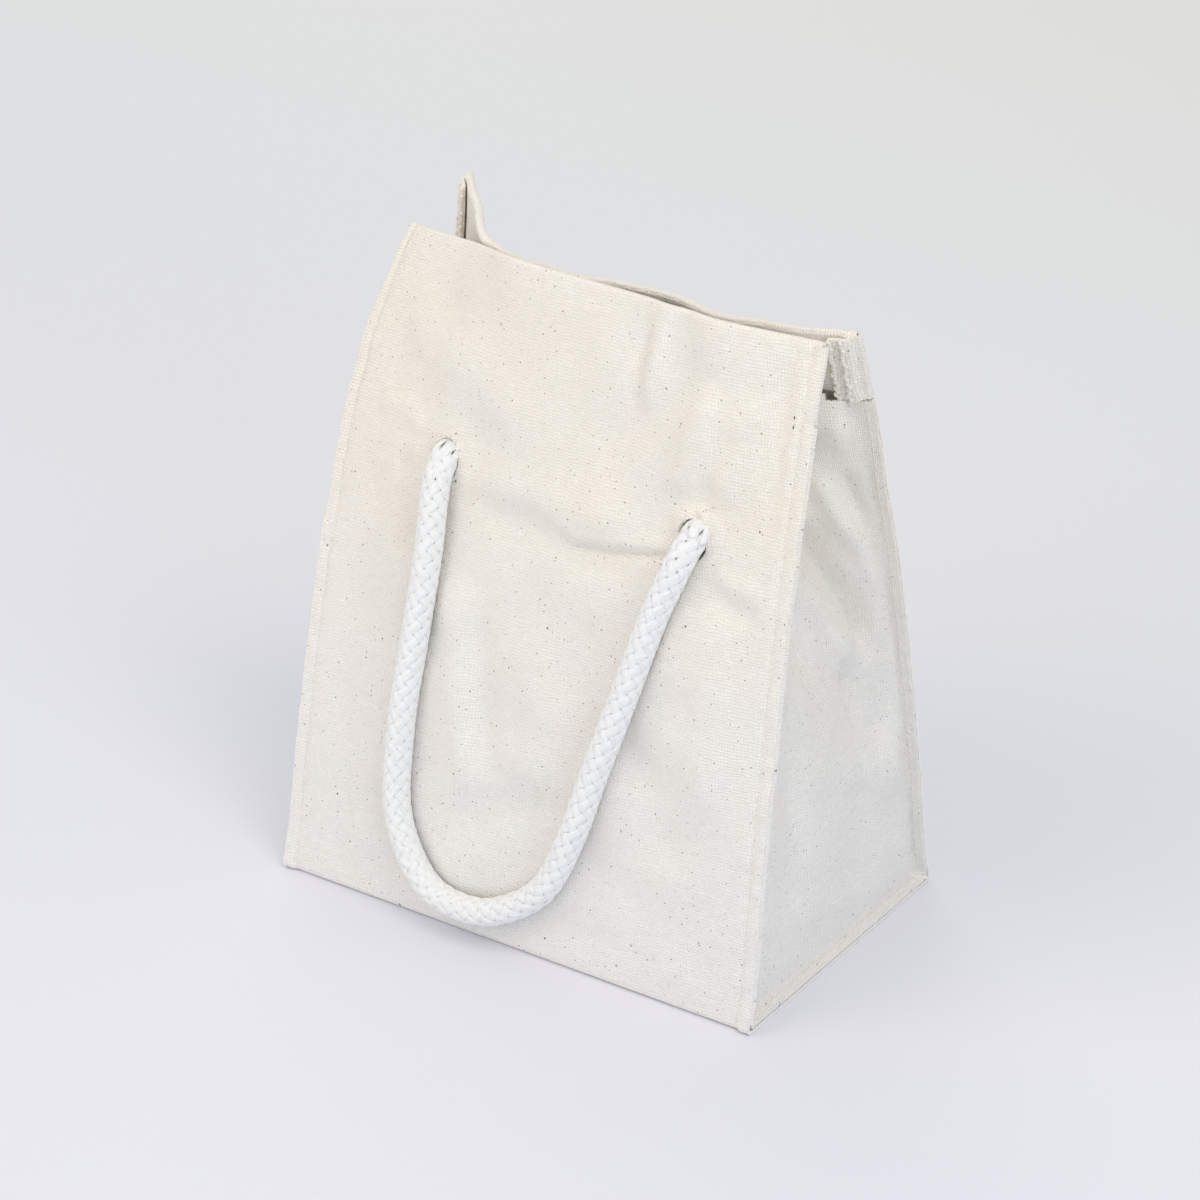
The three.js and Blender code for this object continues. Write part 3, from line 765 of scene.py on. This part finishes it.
def canvas_material():
    material, tree, shader = node_material("natural_canvas")
    cloth = cloth_place(tree)
    drift = add_node(tree, "ShaderNodeTexNoise", {"Vector": cloth, "Scale": WANDER["scale"]})
    wander = {0: drift.outputs["Color"], 1: WANDER["far"], 2: cloth}
    yarns = add_node(tree, "ShaderNodeVectorMath", wander, operation="MULTIPLY_ADD").outputs["Vector"]
    waves = []
    for axis, spacing in YARNS.items():
        turn = math_node(tree, "MULTIPLY", axis_of(tree, yarns, axis), math.pi / spacing)
        waves.append(math_node(tree, "SINE", turn))
    crossing = math_node(tree, "ABSOLUTE", math_node(tree, "MULTIPLY", *waves))
    pads = math_node(tree, "POWER", crossing, PAD_ROUNDNESS)
    slubs = math_node(tree, "ADD", *(noise(tree, cloth, scale) for scale in SLUBS))
    height = math_node(tree, "ADD", pads, math_node(tree, "MULTIPLY", slubs, SLUB_HEIGHT))
    bump = add_node(tree, "ShaderNodeBump", {"Height": height, **WEAVE_BUMP})

    clouds = noise(tree, cloth, (18, 18, 1), detail=3)
    grain = noise(tree, cloth, (1700, 1700, 1), detail=1)
    up = axis_of(tree, object_place(tree), "Z")
    gaps = math_node(tree, "SUBTRACT", GAP_SHADE["from"], pads)
    layers = [
        # painted light: near the base the cream gives way to a cool white, for the bluish light the floor
        # throws up
        (share_between(tree, up, low=0.17, high=0.03, most=0.8), (248, 248, 250)),
        (math_node(tree, "MULTIPLY", gaps, GAP_SHADE["share"]), (232, 222, 207)),
        (share_between(tree, slubs, low=0.8, high=1.2, most=0.35), (252, 250, 246)),
        (share_between(tree, grain, low=0.35, high=0.7, most=0.28), (214, 205, 193)),
    ]
    layers += [(fleck_share(tree, cloth, fleck), fleck["tone"]) for fleck in FLECKS]
    warm = share_between(tree, clouds, low=0.35, high=0.65)
    colour = mix_colour(tree, warm, linear(*CREAM["pale"]), linear(*CREAM["warm"]))
    for share, tone in layers:
        colour = mix_colour(tree, share, colour, linear(*tone))
    look = {
        "Base Color": colour,
        "Normal": bump.outputs["Normal"],
        "Roughness": 0.93,
        "Sheen Weight": 0.1,
        "Specular IOR Level": 0.15,
    }
    set_inputs(tree, shader, look)
    return material


natural_canvas = canvas_material()

# %% [markdown]
# ## Canvas sheets
# A sheet is a few grids of points that share their edges: the face of a panel, the hem that turns over
# its top and the strips that turn in at its tabs. Welding the grids gives one piece of cloth, and
# Solidify gives it the thickness of canvas.

# %% Sheet helpers
WELD = 2e-6  # in metres
SHARP = math.radians(55)


def grid_patch(points, flat, removed=None):
    """A grid of points with its place on the cut cloth, and the faces to leave out."""
    if removed is None:
        removed = np.zeros((len(points) - 1, len(points[0]) - 1), bool)
    return {"points": points, "flat": flat, "removed": removed}


def sheet_object(name, patches):
    vertices, faces, uvs = [], [], []
    first = 0
    for patch in patches:
        rows, columns = patch["points"].shape[:2]
        low = first + np.arange(rows * columns).reshape(rows, columns)[:-1, :-1]
        low = low[~patch["removed"]]
        faces += np.stack([low, low + 1, low + 1 + columns, low + columns], -1).tolist()
        vertices.append(patch["points"].reshape(-1, 3))
        uvs.append(patch["flat"].reshape(-1, 2))
        first += rows * columns
    made = mesh_object(name, np.vstack(vertices) * MM, faces, np.vstack(uvs) * MM)
    weld(made)
    thicken(made)
    made.data.materials.append(natural_canvas)
    return made


def weld(made):
    work = bmesh.new()
    work.from_mesh(made.data)
    loose = [v for v in work.verts if not v.link_faces]
    bmesh.ops.delete(work, geom=loose, context="VERTS")
    bmesh.ops.remove_doubles(work, verts=work.verts, dist=WELD)
    work.to_mesh(made.data)
    work.free()


def keep_result(made):
    """Makes what the modifiers show the piece's own mesh."""
    shown = made.evaluated_get(bpy.context.evaluated_depsgraph_get())
    mesh = bpy.data.meshes.new_from_object(shown)
    made.modifiers.clear()
    made.data = mesh


def thicken(made):
    solid = made.modifiers.new("canvas", "SOLIDIFY")
    solid.thickness = CLOTH * MM
    solid.offset = 0
    keep_result(made)
    made.data.set_sharp_from_angle(angle=SHARP)


# %% [markdown]
# ## Front and back
# Each face has its two holes cut out of the grid, with the grid's edge drawn onto the oval. At the top
# the cloth turns over a small round fold and lies behind itself. Above the gussets each side edge is
# turned in behind that, and its raw edge shows inside.

# %% Front and back
FINE = 1.2  # spacing of the cloth's grid
FINER = 0.7  # and beside the seams
BASE_ROW = 4  # and along the base
FOLD_RADIUS = 1.8  # the strip's bends at the base
FOLD_B = FOLD_RADIUS + CLOTH / 2  # the flat face starts this far up
FACING_LOW = PANEL - TAB + 2 * CLOTH
FACING_ROWS = 16
TURN_IN = 9
TURN_IN_COLUMNS = 9
TAB_LOW = PANEL - TAB + 0.4
TAB_FOLD = {"least": 0.15, "more": 0.9, "over": 7}  # room for a tab's turned edge
TURN_DEPTH = {"fold": 1.05, "more": 0.95, "over": 5}  # in layers
HALF_TURN = np.linspace(0, math.pi, 7)
TAB_HALF_TURN = np.linspace(0, math.pi, 9)
QUARTER_TURN = np.linspace(math.pi / 2, 0, 7)


def hole_cut(a, b):
    """Faces inside the holes, with the grid points on their rims moved onto the ovals."""
    removed = np.zeros((a.shape[0] - 1, a.shape[1] - 1), bool)
    for side in HOLE_A:
        reach = hole_reach(a, b, side)
        centre = (reach[:-1, :-1] + reach[1:, :-1] + reach[:-1, 1:] + reach[1:, 1:]) / 4
        gone = centre < 1
        around = [np.pad(gone, ((j, 1 - j), (i, 1 - i))) for j in (0, 1) for i in (0, 1)]
        rim = np.any(around, axis=0) & ~np.all(around, axis=0)
        a[rim] = HOLE_A[side] + (a[rim] - HOLE_A[side]) / reach[rim]
        b[rim] = HOLE["b"] + (b[rim] - HOLE["b"]) / reach[rim]
        removed |= gone
    return removed


def fold_room(b):
    """What a tab's turned edge takes up, so that it stays in line with the seam below it."""
    return TAB_FOLD["least"] + TAB_FOLD["more"] * smooth((b - TAB_LOW) / TAB_FOLD["over"])


def turn_depth(inset):
    """How deep the turned edge lies: close behind the face at its fold, and behind the hem further in."""
    return LAYER * (TURN_DEPTH["fold"] + TURN_DEPTH["more"] * smooth(inset / TURN_DEPTH["over"]))


def tab_draw(a, b):
    return a * (1 - np.where(b >= TAB_LOW, fold_room(b) + CLOTH / 2, 0) / HALF)


def columns_across():
    """Places across a panel, closer together beside its seams."""
    seam = np.linspace(SEAM - LIP, HALF, int(2 * LIP / FINER) + 1)
    middle = np.linspace(LIP - SEAM, SEAM - LIP, int(2 * (SEAM - LIP) / FINE) + 1)
    return np.concatenate([-seam[:0:-1], middle, seam[1:]])


def round_bend(rim, out, over, flat, run, angles):
    """Lines of points on a round fold that starts at a rim, and their places on the cut cloth."""
    rows = [rim + out * (math.cos(angle) - 1) + over * math.sin(angle) for angle in angles]
    return rows, [flat + np.array(run) * angle for angle in angles]


def face_patch(panel):
    a, b = np.meshgrid(columns_across(), np.linspace(FOLD_B, PANEL, int(PANEL / FINE) + 1))
    removed = hole_cut(a, b)
    return grid_patch(panel.at(tab_draw(a, b), b), np.stack([a, b], -1), removed), a, b


def hem_patch(panel, a):
    """Over the top fold and down behind the face."""
    radius = LAYER / 2
    edge = np.full_like(a, PANEL)
    drawn = tab_draw(a, edge)
    _, _, up, normal = panel.axes(drawn, edge)
    rim = panel.at(drawn, edge)
    flat = np.stack([a, edge], -1)
    rows, flats = round_bend(rim, normal * radius, up * radius, flat, (0, radius), HALF_TURN)
    for b in np.linspace(PANEL, FACING_LOW, FACING_ROWS)[1:]:
        rows.append(panel.at(drawn, b, -LAYER))
        flats.append(flat + np.array([0, radius * math.pi + PANEL - b]))
    return grid_patch(np.array(rows), np.array(flats))


def turn_in_patch(panel, side, b):
    """Round the tab's side edge and back inwards behind the hem."""
    b = b[b >= TAB_LOW]
    edge = np.full_like(b, side * HALF)
    drawn = tab_draw(edge, b)
    _, across, _, normal = panel.axes(drawn, b)
    rim = panel.at(drawn, b)
    out = normal * turn_depth(0) / 2
    over = side * across * fold_room(b)[:, None]
    flat = np.stack([edge, b], -1)
    columns, flats = round_bend(rim, out, over, flat, (side * LAYER, 0), TAB_HALF_TURN)
    for inset in np.linspace(0, TURN_IN, TURN_IN_COLUMNS)[1:]:
        columns.append(panel.at(drawn - side * inset, b, -turn_depth(inset)))
        flats.append(flat + np.array([side * (LAYER * math.pi + inset), 0]))
    order = np.s_[:, :: -1 if side * panel.outward > 0 else 1]
    return grid_patch(np.stack(columns, 1)[order], np.stack(flats, 1)[order])


def base_bend_patch(panel, a):
    """The rounded fold from the base up to the face."""
    edge = np.full_like(a, FOLD_B)
    out = np.array([0, panel.outward, 0]) * FOLD_RADIUS
    down = np.array([0, 0, -1]) * FOLD_RADIUS
    flat = np.stack([a, edge], -1)
    rows, flats = round_bend(panel.at(a, edge), out, down, flat, (0, -FOLD_RADIUS), QUARTER_TURN)
    return grid_patch(np.array(rows), np.array(flats))


def panel_patches(panel):
    face, a, b = face_patch(panel)
    turn_ins = [turn_in_patch(panel, side, b[:, 0]) for side in (-1, 1)]
    return [base_bend_patch(panel, a[0]), face, hem_patch(panel, a[0]), *turn_ins]


def base_patch(start, end, columns):
    """The flat base, from just behind the front fold to the start of the back's bend."""
    share = np.linspace(0, 1, int(DEPTH / BASE_ROW) + 1)[:, None, None]
    points = start[None] * (1 - share) + end[None] * share
    a = np.broadcast_to(columns, points.shape[:2])
    flat = np.stack([a, -points[..., 1] + end[0, 1]], -1)
    return grid_patch(points, flat)


front_cloth = sheet_object("front_cloth", panel_patches(front))
back_parts = panel_patches(back)
base_columns = back_parts[0]["flat"][0, :, 0]
front_fold = base_bend_patch(front, base_columns)["points"][0]
base_part = base_patch(front_fold, back_parts[0]["points"][0], base_columns)
back_cloth = sheet_object("back_and_base_cloth", [*back_parts, base_part])

# %% [markdown]
# ## Gussets
# Each gusset is sewn to the panels with its edges turned out, so its lips lie against theirs. Towards
# the mouth it folds inwards, softly, and its top edge is hemmed. Below it ends in a lip on the base.

# %% Gussets
SIDES = {"left": -1, "right": 1}
FOLD_DEPTH = 34
FOLD_SOFTNESS = 0.35
FOLD_GROWTH = 2
GUSSET = PANEL - TAB
GUSSET_LOW = CLOTH + 3 * GAP
GUSSET_HEM = 9
HEM_CLEAR = 0.8  # share of the width that the hem takes up, clear of the seams
GUSSET_HELD = {"by_seams": 0.22, "by_base": 30}
GUSSET_WAVES = [(1.0, 52, 50), (0.3, 20, 60)]  # height, length and seed
LIP_BEND = 2.2  # from a gusset's face into its lips
LIP_REST = LIP - LIP_BEND
LIP_BEND_POINTS = 5
LIP_SHARES = np.linspace(0, 1, 4)[1:]
LIP_GAP = 0.1  # air that is left between two lips
GUSSET_FOLDS = {
    1: [
        (6.5, 4.0, [(26, 180), (37, 161), (47, 143), (54, 122)]),
        (6, -7.6, [(11, 160), (20, 147), (28, 136), (38, 119), (44, 95)]),
        (6.5, 2.8, [(3, 140), (14, 126), (23, 110), (28, 94)]),
        (7, -3.6, [(18, 112), (26, 100), (35, 84), (50, 60)]),
        (4.5, -2.4, [(45, 177), (48, 170), (51, 162), (57, 148)]),
        (9, 3.2, [(22, 204), (38, 196), (56, 194)]),
        (11, 2.0, [(-14, 150), (4, 122), (8, 92), (6, 60)]),
        (8, -3.4, [(48, 112), (52, 90), (54, 62)]),
        (10, -1.4, [(-30, 120), (-28, 70), (-20, 36)]),
    ],
    -1: [
        (8, -2.4, [(-10, 170), (-2, 140), (6, 108)]),
        (9, 2.0, [(20, 150), (14, 110), (16, 72)]),
    ],
}


def soft_fold(w):
    reach = math.hypot(1, FOLD_SOFTNESS) - FOLD_SOFTNESS
    return 1 - (np.hypot(w, FOLD_SOFTNESS) - FOLD_SOFTNESS) / reach


def gusset_point(side, w, s):
    """w from -1 at the front seam to 1 at the back seam, s from 0 at the base to 1 at the hem."""
    inset = FOLD_DEPTH * s**FOLD_GROWTH * soft_fold(w)
    a = side * (SEAM - inset)
    b = s * GUSSET
    share = ((w + 1) / 2)[..., None]
    return front.plain(a, b, -LAYER) * (1 - share) + back.plain(a, b, -LAYER) * share


def gusset_relief(side, w, b):
    """The folds of a gusset, which its seams hold flat at its edges."""
    place = w * DEPTH / 2
    held = smooth((1 - np.abs(w)) / GUSSET_HELD["by_seams"]) * smooth(b / GUSSET_HELD["by_base"])
    total = sum(high * ripple(place, b, length, seed + side) for high, length, seed in GUSSET_WAVES)
    for fold in GUSSET_FOLDS[side]:
        total = total + fold_height(place, b, *fold)
    return total * held


def bend_between(start, corner, end):
    """Rows of points on a smooth bend that leaves start towards the corner and arrives at end."""
    shares = np.linspace(0, 1, LIP_BEND_POINTS)
    return [(1 - t) ** 2 * start + 2 * t * (1 - t) * corner + t**2 * end for t in shares]


def side_lip(side, panel, way, face_edge, b):
    """From the edge of a gusset's face, round a small bend and out along the panel's lip."""
    seam = gusset_point(side, np.full_like(b, way), b / GUSSET)
    lines = bend_between(face_edge, seam, panel.at(side * (SEAM + LIP_BEND), b, -LAYER))
    for share in LIP_SHARES:
        a = side * (SEAM + LIP_BEND + LIP_REST * share)
        lines.append(panel.at(a, b, -LAYER + (GAP - LIP_GAP) * share))
    return lines


def low_lip(side, face_row, w):
    """The same at the base, where the lip lies flat."""
    seam = gusset_point(side, w, np.full_like(w, GUSSET_LOW / GUSSET))
    out = np.array([side, 0, 0])
    down = np.array([0, 0, 2 * CLOTH + LIP_GAP - GUSSET_LOW])
    lines = bend_between(face_row, seam, seam + out * LIP_BEND)
    for share in LIP_SHARES:
        lines.append(seam + out * (LIP_BEND + LIP_REST * share) + down * share)
    return lines


def corner_patch(side, beside, below, way):
    """Closes a gusset's lower corner, between its lip beside a panel and its lip on the base."""
    points = beside[None, :] + below[:, None] - beside[0]
    points[..., 0] = side * np.minimum(side * points[..., 0], HALF)
    points = points[::-1, ::way]
    return grid_patch(points, points[..., [1, 2]])


def gusset_hem(face, up, outward, flat):
    """The top edge, turned over to the inside, clear of the two seams."""
    radius = LAYER / 2
    out = outward[-1] * radius
    rows, flats = round_bend(face[-1], out, up[-1] * radius, flat[-1], (0, radius), HALF_TURN)
    inner = face - outward * LAYER
    for j in range(2, int(GUSSET_HEM / FINE) + 1):
        rows.append(inner[-j])
        flats.append(flat[-1] + np.array([0, radius * math.pi + (j - 1) * FINE]))
    clear = np.abs(flat[-1, :, 0]) < HEM_CLEAR * DEPTH / 2
    return grid_patch(np.array(rows)[:, clear], np.array(flats)[:, clear])


def gusset_patches(side):
    edge = 1 - 2 * LIP_BEND / DEPTH
    across = np.linspace(-edge, edge, int(DEPTH / FINE) + 1)
    w, b = np.meshgrid(across, np.linspace(GUSSET_LOW + LIP_BEND, GUSSET, int(GUSSET / FINE) + 1))
    _, up, normal = surface_axes(lambda w, s: gusset_point(side, w, s), w, b / GUSSET)
    outward = normal * side
    face = gusset_point(side, w, b / GUSSET) + outward * gusset_relief(side, w, b)[..., None]
    flat = np.stack([w * DEPTH / 2, b], -1)
    patches = [grid_patch(face, flat), gusset_hem(face, up, outward, flat)]

    below = np.array(low_lip(side, face[0], w[0]))
    below_flat = np.array([flat[0] - np.array([0, k]) for k in range(len(below))])
    patches.append(grid_patch(below[::-1], below_flat[::-1]))
    for panel, column, way in ((front, 0, -1), (back, -1, 1)):
        beside = np.array(side_lip(side, panel, way, face[:, column], b[:, column]))
        beside_flat = np.array([flat[:, column] + np.array([way * k, 0]) for k in range(len(beside))])
        patches.append(grid_patch(beside[::way].swapaxes(0, 1), beside_flat[::way].swapaxes(0, 1)))
        patches.append(corner_patch(side, beside[:, 0], below[:, column], way))
    return patches


gusset_cloth = {}
for word, side in SIDES.items():
    gusset_cloth[word] = sheet_object(f"{word}_gusset_cloth", gusset_patches(side))

# %% [markdown]
# ## Thread
# The seams are sewn with one row of pale stitches a seam's width from the edge, the tabs with a short
# upright row, and the raw edges inside the tabs are overlocked, which leaves a bumpy ridge. A short dark
# tack ends the front's right seam. A stitch repeats along a line, so a Geometry Nodes tree sets one small
# bead at even steps along it. The same kind of tree sets bent fibres, turned at random, where the cut
# edge of a hole has frayed.

# %% Thread
THREAD_LOOK = {"scale": 1400, "roughness": 0.8, "sheen": 0.15}
BEAD = {"Segments": 8, "Rings": 5, "Radius": 0.5}
FIBRE = {"Resolution": 4, "Start": (0, 0, 0), "Middle": (0.1, 0.2, 0.6), "End": (0.5, 0.3, 0.9)}
FIBRE_SIDES = 4
FIBRE_SIZES = {2: 0.35, 3: 1.0}  # the random node's float sockets
RANDOM_FLOAT = 1  # and its float output
ANY_TURN = {"Min": (-math.pi,) * 3, "Max": (math.pi,) * 3}
pale_thread = speckled_material("pale_thread", dark=(222, 213, 200), light=(246, 241, 233), **THREAD_LOOK)
dark_thread = speckled_material("dark_thread", dark=(84, 72, 62), light=(126, 110, 96), **THREAD_LOOK)


def row_tree(name, sizes):
    """A tree that sets something at even steps along lines. The caller says what, and how it is turned."""
    tree = bpy.data.node_groups.new(name, "GeometryNodeTree")
    for socket, kind in {"Line": "Geometry", **sizes, "Thread": "Material"}.items():
        tree.interface.new_socket(socket, in_out="INPUT", socket_type=f"NodeSocket{kind}")
    tree.interface.new_socket("Row", in_out="OUTPUT", socket_type="NodeSocketGeometry")
    given = add_node(tree, "NodeGroupInput").outputs
    curve = add_node(tree, "GeometryNodeMeshToCurve", {"Mesh": given["Line"]}).outputs["Curve"]
    steps = {"Curve": curve, "Length": given["Pitch"]}
    spots = add_node(tree, "GeometryNodeCurveToPoints", steps, mode="LENGTH")
    place = add_node(tree, "GeometryNodeInstanceOnPoints", {"Points": spots.outputs["Points"]})
    real = add_node(tree, "GeometryNodeRealizeInstances", {"Geometry": place.outputs["Instances"]})
    painted = {"Geometry": real.outputs["Geometry"], "Material": given["Thread"]}
    paint = add_node(tree, "GeometryNodeSetMaterial", painted)
    add_node(tree, "NodeGroupOutput", {"Row": paint.outputs["Geometry"]})
    return tree, given, spots, place


def stitch_tree():
    """Beads along a line, each as long and as thick as asked."""
    sizes = {"Pitch": "Float", "Length": "Float", "Thickness": "Float"}
    tree, given, spots, place = row_tree("stitch_row", sizes)
    bead = add_node(tree, "GeometryNodeMeshUVSphere", BEAD)
    lengths = {"X": given["Thickness"], "Y": given["Thickness"], "Z": given["Length"]}
    size = add_node(tree, "ShaderNodeCombineXYZ", lengths)
    stitch = {
        "Instance": bead.outputs["Mesh"],
        "Rotation": spots.outputs["Rotation"],
        "Scale": size.outputs["Vector"],
    }
    set_inputs(tree, place, stitch)
    return tree


def fray_tree():
    """Bent fibres along a line, turned and sized at random from a fixed seed."""
    sizes = {"Pitch": "Float", "Length": "Float", "Slimness": "Float", "Seed": "Int"}
    tree, given, _, place = row_tree("fray_row", sizes)
    seed = {"Seed": given["Seed"]}
    bend = add_node(tree, "GeometryNodeCurveQuadraticBezier", FIBRE).outputs["Curve"]
    round_shape = {"Resolution": FIBRE_SIDES, "Radius": given["Slimness"]}
    ring = add_node(tree, "GeometryNodeCurvePrimitiveCircle", round_shape).outputs["Curve"]
    tube = add_node(tree, "GeometryNodeCurveToMesh", {"Curve": bend, "Profile Curve": ring})
    turn = add_node(tree, "FunctionNodeRandomValue", {**ANY_TURN, **seed}, data_type="FLOAT_VECTOR")
    spread = add_node(tree, "FunctionNodeRandomValue", {**FIBRE_SIZES, **seed})
    fibre = {
        "Instance": tube.outputs["Mesh"],
        "Rotation": turn.outputs["Value"],
        "Scale": math_node(tree, "MULTIPLY", spread.outputs[RANDOM_FLOAT], given["Length"]),
    }
    set_inputs(tree, place, fibre)
    return tree


def thread_rows(name, lines, tree, **values):
    """Runs a tree along lines of points and keeps what it makes as a plain mesh."""
    vertices, edges = [], []
    for line in lines:
        first = len(vertices)
        vertices += (line * MM).tolist()
        edges += [(first + i, first + i + 1) for i in range(len(line) - 1)]
    mesh = bpy.data.meshes.new(name)
    mesh.from_pydata(vertices, edges, [])
    made = bpy.data.objects.new(name, mesh)
    bpy.context.scene.collection.objects.link(made)
    rows = made.modifiers.new("rows", "NODES")
    rows.node_group = tree
    for socket in tree.interface.items_tree:
        if socket.in_out == "INPUT" and socket.name in values:
            rows[socket.identifier] = values[socket.name]
    keep_result(made)
    made.data.polygons.foreach_set("use_smooth", np.ones(len(made.data.polygons), bool))
    return made


stitch_row = stitch_tree()
fray_row = fray_tree()
SEAM_STITCH = {"Pitch": 3.1 * MM, "Length": 2.6 * MM, "Thickness": 0.55 * MM, "Thread": pale_thread}
OVERLOCK = {"Pitch": 1.5 * MM, "Length": 2.1 * MM, "Thickness": 1.7 * MM, "Thread": pale_thread}
BAR_TACK = {"Pitch": 1.8 * MM, "Length": 1.3 * MM, "Thickness": 0.5 * MM, "Thread": dark_thread}
FRAY = {"Pitch": 0.4 * MM, "Length": 4.0 * MM, "Slimness": 0.032, "Thread": pale_thread, "Seed": 4}
SEAM_STEP = 1.0  # between the points of a line
OVERLOCK_STEP = 0.5
TAB_STITCH_A = 86
TAB_STITCH_MARGIN = 2  # from the tab's two ends
TACK = {"a": 88, "low": 203, "high": 207}
OVERLOCK_INSETS = (4.6, TURN_IN - 0.4)
OVERLOCK_WANDER = [(0.4, 2.3), (0.3, 0.9)]  # how far, and how quickly
RIM_POINTS = 61
RIM_OUT = 0.3
LOW_SEAM = 0.94  # share of a gusset's width that is sewn to the base
LOW_SEAM_POINTS = 60
ON_CLOTH = CLOTH / 2 + 0.02  # a stitch lies half sunk in the cloth


def upright(panel, a, low, high):
    """A line up the outside of a panel, at one place across it."""
    b = np.arange(low, high, SEAM_STEP)
    return panel.at(a, b, ON_CLOTH)


def panel_rows(panel):
    lines = []
    for side in SIDES.values():
        lines.append(upright(panel, side * SEAM, LIP, TAB_LOW))
        tab_high = PANEL - TAB_STITCH_MARGIN
        lines.append(upright(panel, side * TAB_STITCH_A, TAB_LOW + TAB_STITCH_MARGIN, tab_high))
    return lines


def raw_edges(panel):
    """Two overlocked ridges on the turned-in sides, one at the raw edge and one a little before it."""
    b = np.arange(TAB_LOW, PANEL - 1, OVERLOCK_STEP)
    wander = sum(far * np.sin(rate * b) for far, rate in OVERLOCK_WANDER)
    lines = []
    for side in SIDES.values():
        for inset in OVERLOCK_INSETS:
            lines.append(panel.at(side * (HALF - LAYER - inset) + wander, b, -2 * LAYER - CLOTH / 2))
    return lines


def hole_rims(panel):
    turn = np.linspace(0, 2 * math.pi, RIM_POINTS)
    b = HOLE["b"] + HOLE["tall"] / 2 * np.sin(turn)
    return [panel.at(a + HOLE["wide"] / 2 * np.cos(turn), b, RIM_OUT) for a in HOLE_A.values()]


def gusset_rows(side):
    b = np.arange(GUSSET_LOW + LIP, GUSSET, SEAM_STEP)
    lines = [panel.at(side * (SEAM + LIP_BEND), b, -LAYER - ON_CLOTH) for panel in (front, back)]
    w = np.linspace(-LOW_SEAM, LOW_SEAM, LOW_SEAM_POINTS)
    bend_end = low_lip(side, gusset_point(side, w, w * 0), w)[LIP_BEND_POINTS - 1]
    return [*lines, bend_end + np.array([0, 0, ON_CLOTH])]


def panel_threads(word, panel):
    return [
        thread_rows(f"{word}_seam_thread", panel_rows(panel), stitch_row, **SEAM_STITCH),
        thread_rows(f"{word}_overlock", raw_edges(panel), stitch_row, **OVERLOCK),
        thread_rows(f"{word}_hole_fray", hole_rims(panel), fray_row, **FRAY),
    ]


threads = {"front_wall": panel_threads("front", front)}
bar_tack = thread_rows("front_bar_tack", [upright(front, **TACK)], stitch_row, **BAR_TACK)
threads["front_wall"].append(bar_tack)
threads["sack"] = panel_threads("back", back)
gusset_thread = {}
for word, side in SIDES.items():
    gusset_thread[word] = thread_rows(f"{word}_gusset_thread", gusset_rows(side), stitch_row, **SEAM_STITCH)

# %% [markdown]
# ## How the pieces ride
# The front cloth and its threads ride on the front wall, and the back, the base and their threads on the
# sack.
# The gussets and the rope loops are baked in place, and each knot rides on its wall.

# %% How the pieces ride
PANEL_NODES = ("panel", "top_facing", "left_turn_in", "right_turn_in")

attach(front_cloth, "front_wall")
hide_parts(*(f"front_{node}" for node in PANEL_NODES))
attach(back_cloth, "sack")
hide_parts("base_panel", *(f"back_{node}" for node in PANEL_NODES))
for body, rows in threads.items():
    for row in rows:
        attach(row, body)

for word, cloth in gusset_cloth.items():
    for piece in (cloth, gusset_thread[word]):
        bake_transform(piece)
    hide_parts(f"{word}_gusset", f"{word}_gusset_hem")

for word, panel, rope, line, length, wall, body in (
    ("front", front, front_rope, front_line, front_length, "front_wall", "front_handle"),
    ("back", back, back_rope, back_line, back_length, "sack", "back_handle"),
):
    _, _, up, _ = panel.axes(sum(HOLE_A.values()) / 2, HOLE["b"])
    ends = [panel.plain(a, HOLE["b"], ROPE_OFF) for a in HOLE_A.values()]
    loop = rope[f"{word}_rope"]
    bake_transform(loop)
    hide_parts(f"{word}_handle_rope")
    for side in SIDES:
        end = rope[f"{word}_{side}_knot"]
        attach(end, wall)
        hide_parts(f"{word}_{side}_rope_end")
